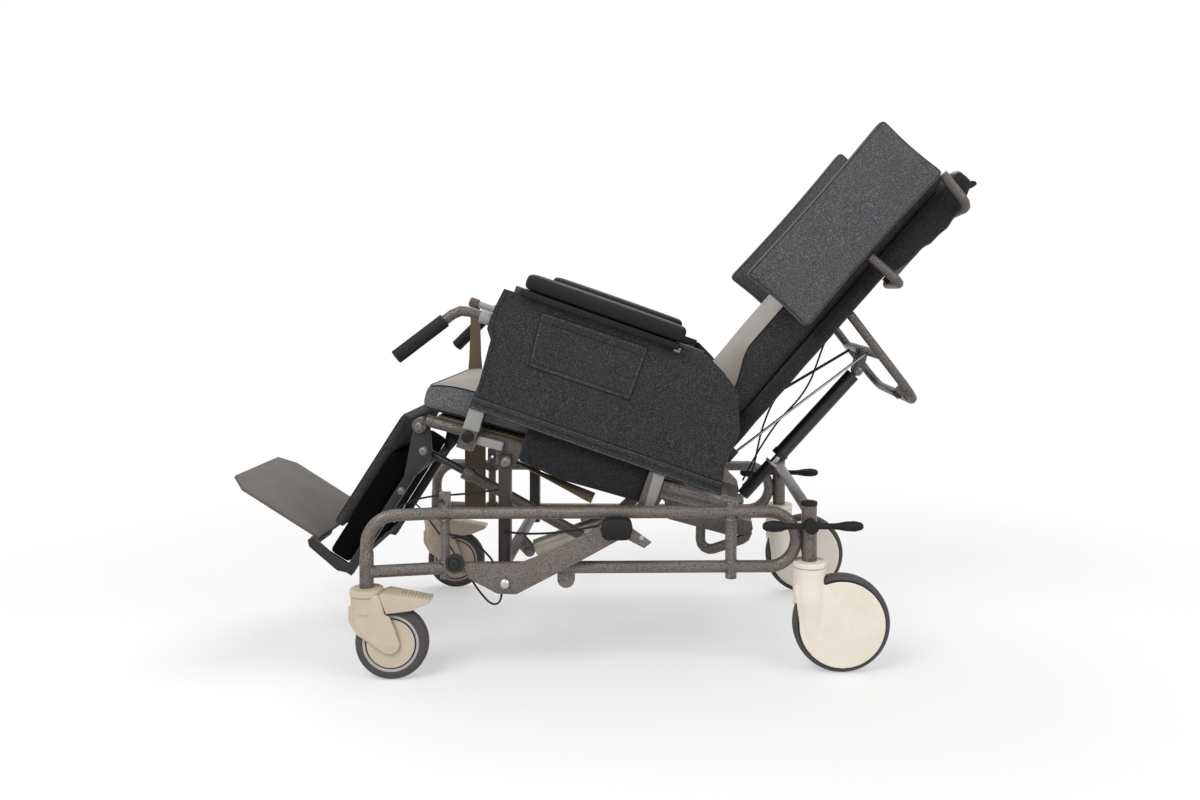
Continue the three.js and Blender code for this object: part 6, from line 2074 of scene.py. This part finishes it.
@dataclass
class Fixings(Assembly):
    """Bolts, pins, caps and hole rims, each set on the face that it is driven into; the black discs in the frame
    tubes' holes are painted shade.

    A row holds the name, the node, the body, the place along the chair, the height, the radius, the head and the
    finish; # stands for the side and @ for its letter.
    """

    both_sides: tuple[Fixing, ...] = (
        ("seat_pivot_bolt", "seat_frame", "seat", -378, 503, 7.5, Head.PAN, Kit.ZINC),
        ("seat_rear_bolt", "seat_frame", "seat", 166, 374, 6.0, Head.PAN, Kit.ZINC),
        ("strut_front_pin", "legrest_frame", "legrest", -372, 447, 7.5, Head.PAN, Kit.ZINC),
        ("legrest_low_bolt", "legrest_frame", "legrest", -423, 358, 6.5, Head.PAN, Kit.ZINC),
        ("tilt_pivot_bolt", "seat_frame", "seat", -183, 434, 8.0, Head.PAN, Kit.ZINC),
        ("frame_boss", "side_frame_#", "base", -280, 234, 19.5, Head.BOSS, Kit.BLACK_STEEL),
        # Black discs where the frame tubes have holes: painted shade for the holes' dark insides.
        ("stub_port", "side_frame_#", "base", -313, 357, 5.2, Head.PORT, Kit.BLACK_STEEL),
        ("frame_port_1", "side_frame_#", "base", 243, 332, 2.6, Head.PORT, Kit.BLACK_STEEL),
        ("frame_port_2", "side_frame_#", "base", 337, 332, 2.6, Head.PORT, Kit.BLACK_STEEL),
        ("frame_port_3", "side_frame_#", "base", 244, 218, 2.6, Head.PORT, Kit.BLACK_STEEL),
        ("frame_port_4", "side_frame_#", "base", 337, 218, 2.6, Head.PORT, Kit.BLACK_STEEL),
        ("front_axle_head", "front_caster_fork_#", "front_caster_@", -407, 75, 10.5, Head.PORT, Kit.BEIGE))
    left_only: tuple[Fixing, ...] = (
        ("foot_lever_bolt", "tilt_foot_lever", "foot_lever", -178, 192, 10.5, Head.DOME, Kit.CHROME),
        ("lever_tab_port", "tilt_foot_lever", "foot_lever", 104, 285, 4.6, Head.PORT, Kit.SILVER),
        ("recline_top_pin", "push_bar", "back", 607, 605, 8.0, Head.PAN, Kit.ZINC))

    def build(self) -> None:
        """Sets every fixing."""
        for side in Side:
            for row in self.both_sides + (self.left_only if side is Side.LEFT else ()):
                self.drive(side, *row)

    def drive(self, side: Side, name: str, node: str, body: str, x: float, z: float, radius: float, head: Head,
              kit: Kit) -> None:
        """Sets one fixing.

        Args:
            side: the side that it is driven in from.
            name: its name.
            node: the node that carries it; # stands for the side.
            body: the body that it moves with; @ stands for the side's letter.
            x: its place along the chair, in millimetres.
            z: its height.
            radius: its radius.
            head: how it looks.
            kit: its finish.
        """
        node, body = node.replace("#", side.word), body.replace("@", side.letter)
        way = Vector((0, -side.value, 0))
        spot = self.landing(node, (x, side.value * 600, z), way)
        if spot is None:
            LOG.info("%s finds nothing on %s", name, node)
            return
        profile = [(along * radius, out * radius) for along, out in head.value]
        piece = Shop.lathe(f"{name}_{side.word}", profile, spot, -way, 28)
        self.finish(piece, kit, body)


@dataclass
class Cables(Assembly):
    """The release cables: each runs from one fitting of the chair to another."""

    def build(self) -> None:
        """Makes every cable."""
        self.run("legrest_cable", [(-412, -272, 335), (-396, -268, 345), (-370, -265, 355), (-330, -264, 362),
                                   (-285, -264, 365), (-250, -262, 368), (-200, -250, 372)], 2.2, "base")
        self.run("thin_cable", [(-383, -266, 350), (-371, -266, 344), (-352, -266, 322), (-331, -264, 292),
                                (-304, -262, 258), (-288, -270, 238)], 1.6, "base")
        self.run("lever_loop_cable", [(-262, -303, 222), (-256, -302, 206), (-246, -302, 192), (-232, -302, 172),
                                      (-214, -303, 152), (-200, -304, 146), (-190, -304, 152), (-186, -304, 166),
                                      (-184, -306, 180)], 2.2, "foot_lever")
        self.run("arc_cable", [(-296, -298, 289), (-276, -299, 286), (-255, -298, 279), (-236, -298, 267),
                               (-220, -298, 251), (-207, -299, 236), (-202, -302, 222)], 2.2, "base", "foot_lever")
        self.run("pad_cable", [(-187, -261, 286), (-170, -266, 285), (-134, -272, 284), (-80, -280, 288),
                               (-30, -290, 297), (10, -300, 307), (34, -312, 312)], 2.4, "base", "foot_lever")
        self.run("back_cable_left", [(335, -16, 336), (346, -30, 352), (358, -52, 388), (366, -60, 430),
                                     (378, -62, 480), (404, -60, 540), (450, -60, 600), (505, -62, 660),
                                     (540, -75, 700), (556, -96, 735)], 2.2, "seat", "back")
        self.run("back_cable_right", [(338, 24, 340), (356, 32, 372), (384, 38, 420), (424, 40, 478),
                                      (474, 38, 534), (500, 36, 575), (514, 30, 612), (530, 4, 668),
                                      (546, -26, 708), (560, -52, 740)], 2.2, "seat", "back")

    def run(self, name: str, points: Sequence[Point], radius: float, body: str, other: str = "") -> None:
        """Makes one cable.

        Args:
            name: its name.
            points: what it passes through, in millimetres.
            radius: its radius in millimetres.
            body: the body that it starts on.
            other: the body that it ends on, where that is another.
        """
        line = along_curve([Vector(p) * MM for p in points], 5)
        piece = Shop.pipe(name, line, radius, 8)
        if other:
            piece.data.materials.append(Kit.RUBBER.material())
            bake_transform(piece)
            self.made.append(name)
        else:
            self.finish(piece, Kit.RUBBER, body)
        length_of(line)


# Studio


@dataclass(frozen=True)
class Studio:
    """Floor, lights and camera."""

    eye: Point = (0.150, -2.400, 0.796)
    lens: float = 30.39
    shift: tuple[float, float] = (-0.05333, -0.09167)
    floor_lift: float = 0.42
    shadow_reach: float = 1.0
    white_reach: float = 2.1
    room_light: float = 0.42

    def build(self) -> None:
        """Makes the stage."""
        self.camera()
        self.floor()
        self.lights()
        self.world()
        bpy.context.scene.view_settings.view_transform = "Standard"

    def camera(self) -> None:
        """Places the camera."""
        Shop.clear()
        bpy.ops.object.camera_add(location=self.eye, rotation=(math.pi / 2, 0, 0))
        camera = bpy.context.active_object
        camera.name = "view"
        camera.data.lens = self.lens
        camera.data.sensor_width = 36
        camera.data.shift_x, camera.data.shift_y = self.shift
        camera.data.clip_end = 100
        bpy.context.scene.camera = camera

    def floor(self) -> None:
        """Lays the floor, which the camera sees as near white and which keeps the shadow."""
        Shop.clear()
        bpy.ops.mesh.primitive_plane_add(size=60, location=(0, 0, -0.0005))
        floor = bpy.context.active_object
        floor.name = "floor"
        material = bpy.data.materials.new("studio_floor")
        tree = Tree(material)
        tree.set(Base_Color=tone(246, 246, 246), Roughness=0.9, Specular_IOR_Level=0.1)
        spot = tree.node("TexCoord", {}, {})["Object"]
        away = tree.node("VectorMath", {"operation": "LENGTH"}, {0: spot})["Value"]
        rise = tree.node("MapRange", {"interpolation_type": "SMOOTHSTEP"}, {
            "Value": away, "From Min": self.shadow_reach, "From Max": self.white_reach,
            "To Min": self.floor_lift, "To Max": 1.0})["Result"]
        glow = tree.node("Emission", {}, {"Color": WHITE, "Strength": 1.0})["Emission"]
        mixed = tree.node("MixShader", {}, {0: rise * tree.seen(), 1: tree.shader.outputs[0], 2: glow})["Shader"]
        tree.put(tree.output.inputs["Surface"], mixed)
        floor.data.materials.append(material)

    def lights(self) -> None:
        """Hangs three soft lights."""
        for name, place, power, size in (
                ("key", (-1.6, -2.6, 3.2), 92, 2.6), ("fill", (2.8, -2.2, 2.2), 48, 2.8),
                ("top", (0.2, 1.6, 3.6), 60, 3.0)):
            Shop.clear()
            bpy.ops.object.light_add(type="AREA", location=place)
            light = bpy.context.active_object
            light.name = name
            light.data.energy = power
            light.data.shape = "DISK"
            light.data.size = size
            aim = Vector((0, 0, 0.5)) - Vector(place)
            light.rotation_euler = aim.to_track_quat("-Z", "Y").to_euler()

    def world(self) -> None:
        """Fills the room with even light and a white backdrop."""
        world = bpy.data.worlds.new("studio")
        bpy.context.scene.world = world
        tree = Tree(world)
        tree.set(Color=WHITE, Strength=self.room_light)
        white = tree.node("Background", {}, {"Color": WHITE, "Strength": 1.0})["Background"]
        mixed = tree.node("MixShader", {}, {0: tree.seen(), 1: tree.shader.outputs[0], 2: white})["Shader"]
        tree.put(tree.output.inputs["Surface"], mixed)


def main() -> None:
    """Builds the whole scene."""
    logging.basicConfig(level=logging.INFO, format="%(message)s")
    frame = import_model()
    nodes = frame["nodes"]
    Studio().build()
    for kind in (Base, Seat, Arms, Back, Legrest, Fixings, Cables):
        assembly = kind(nodes)
        assembly.build()
        assembly.report()
    Shop.clear()


if __name__ == "__main__":
    main()
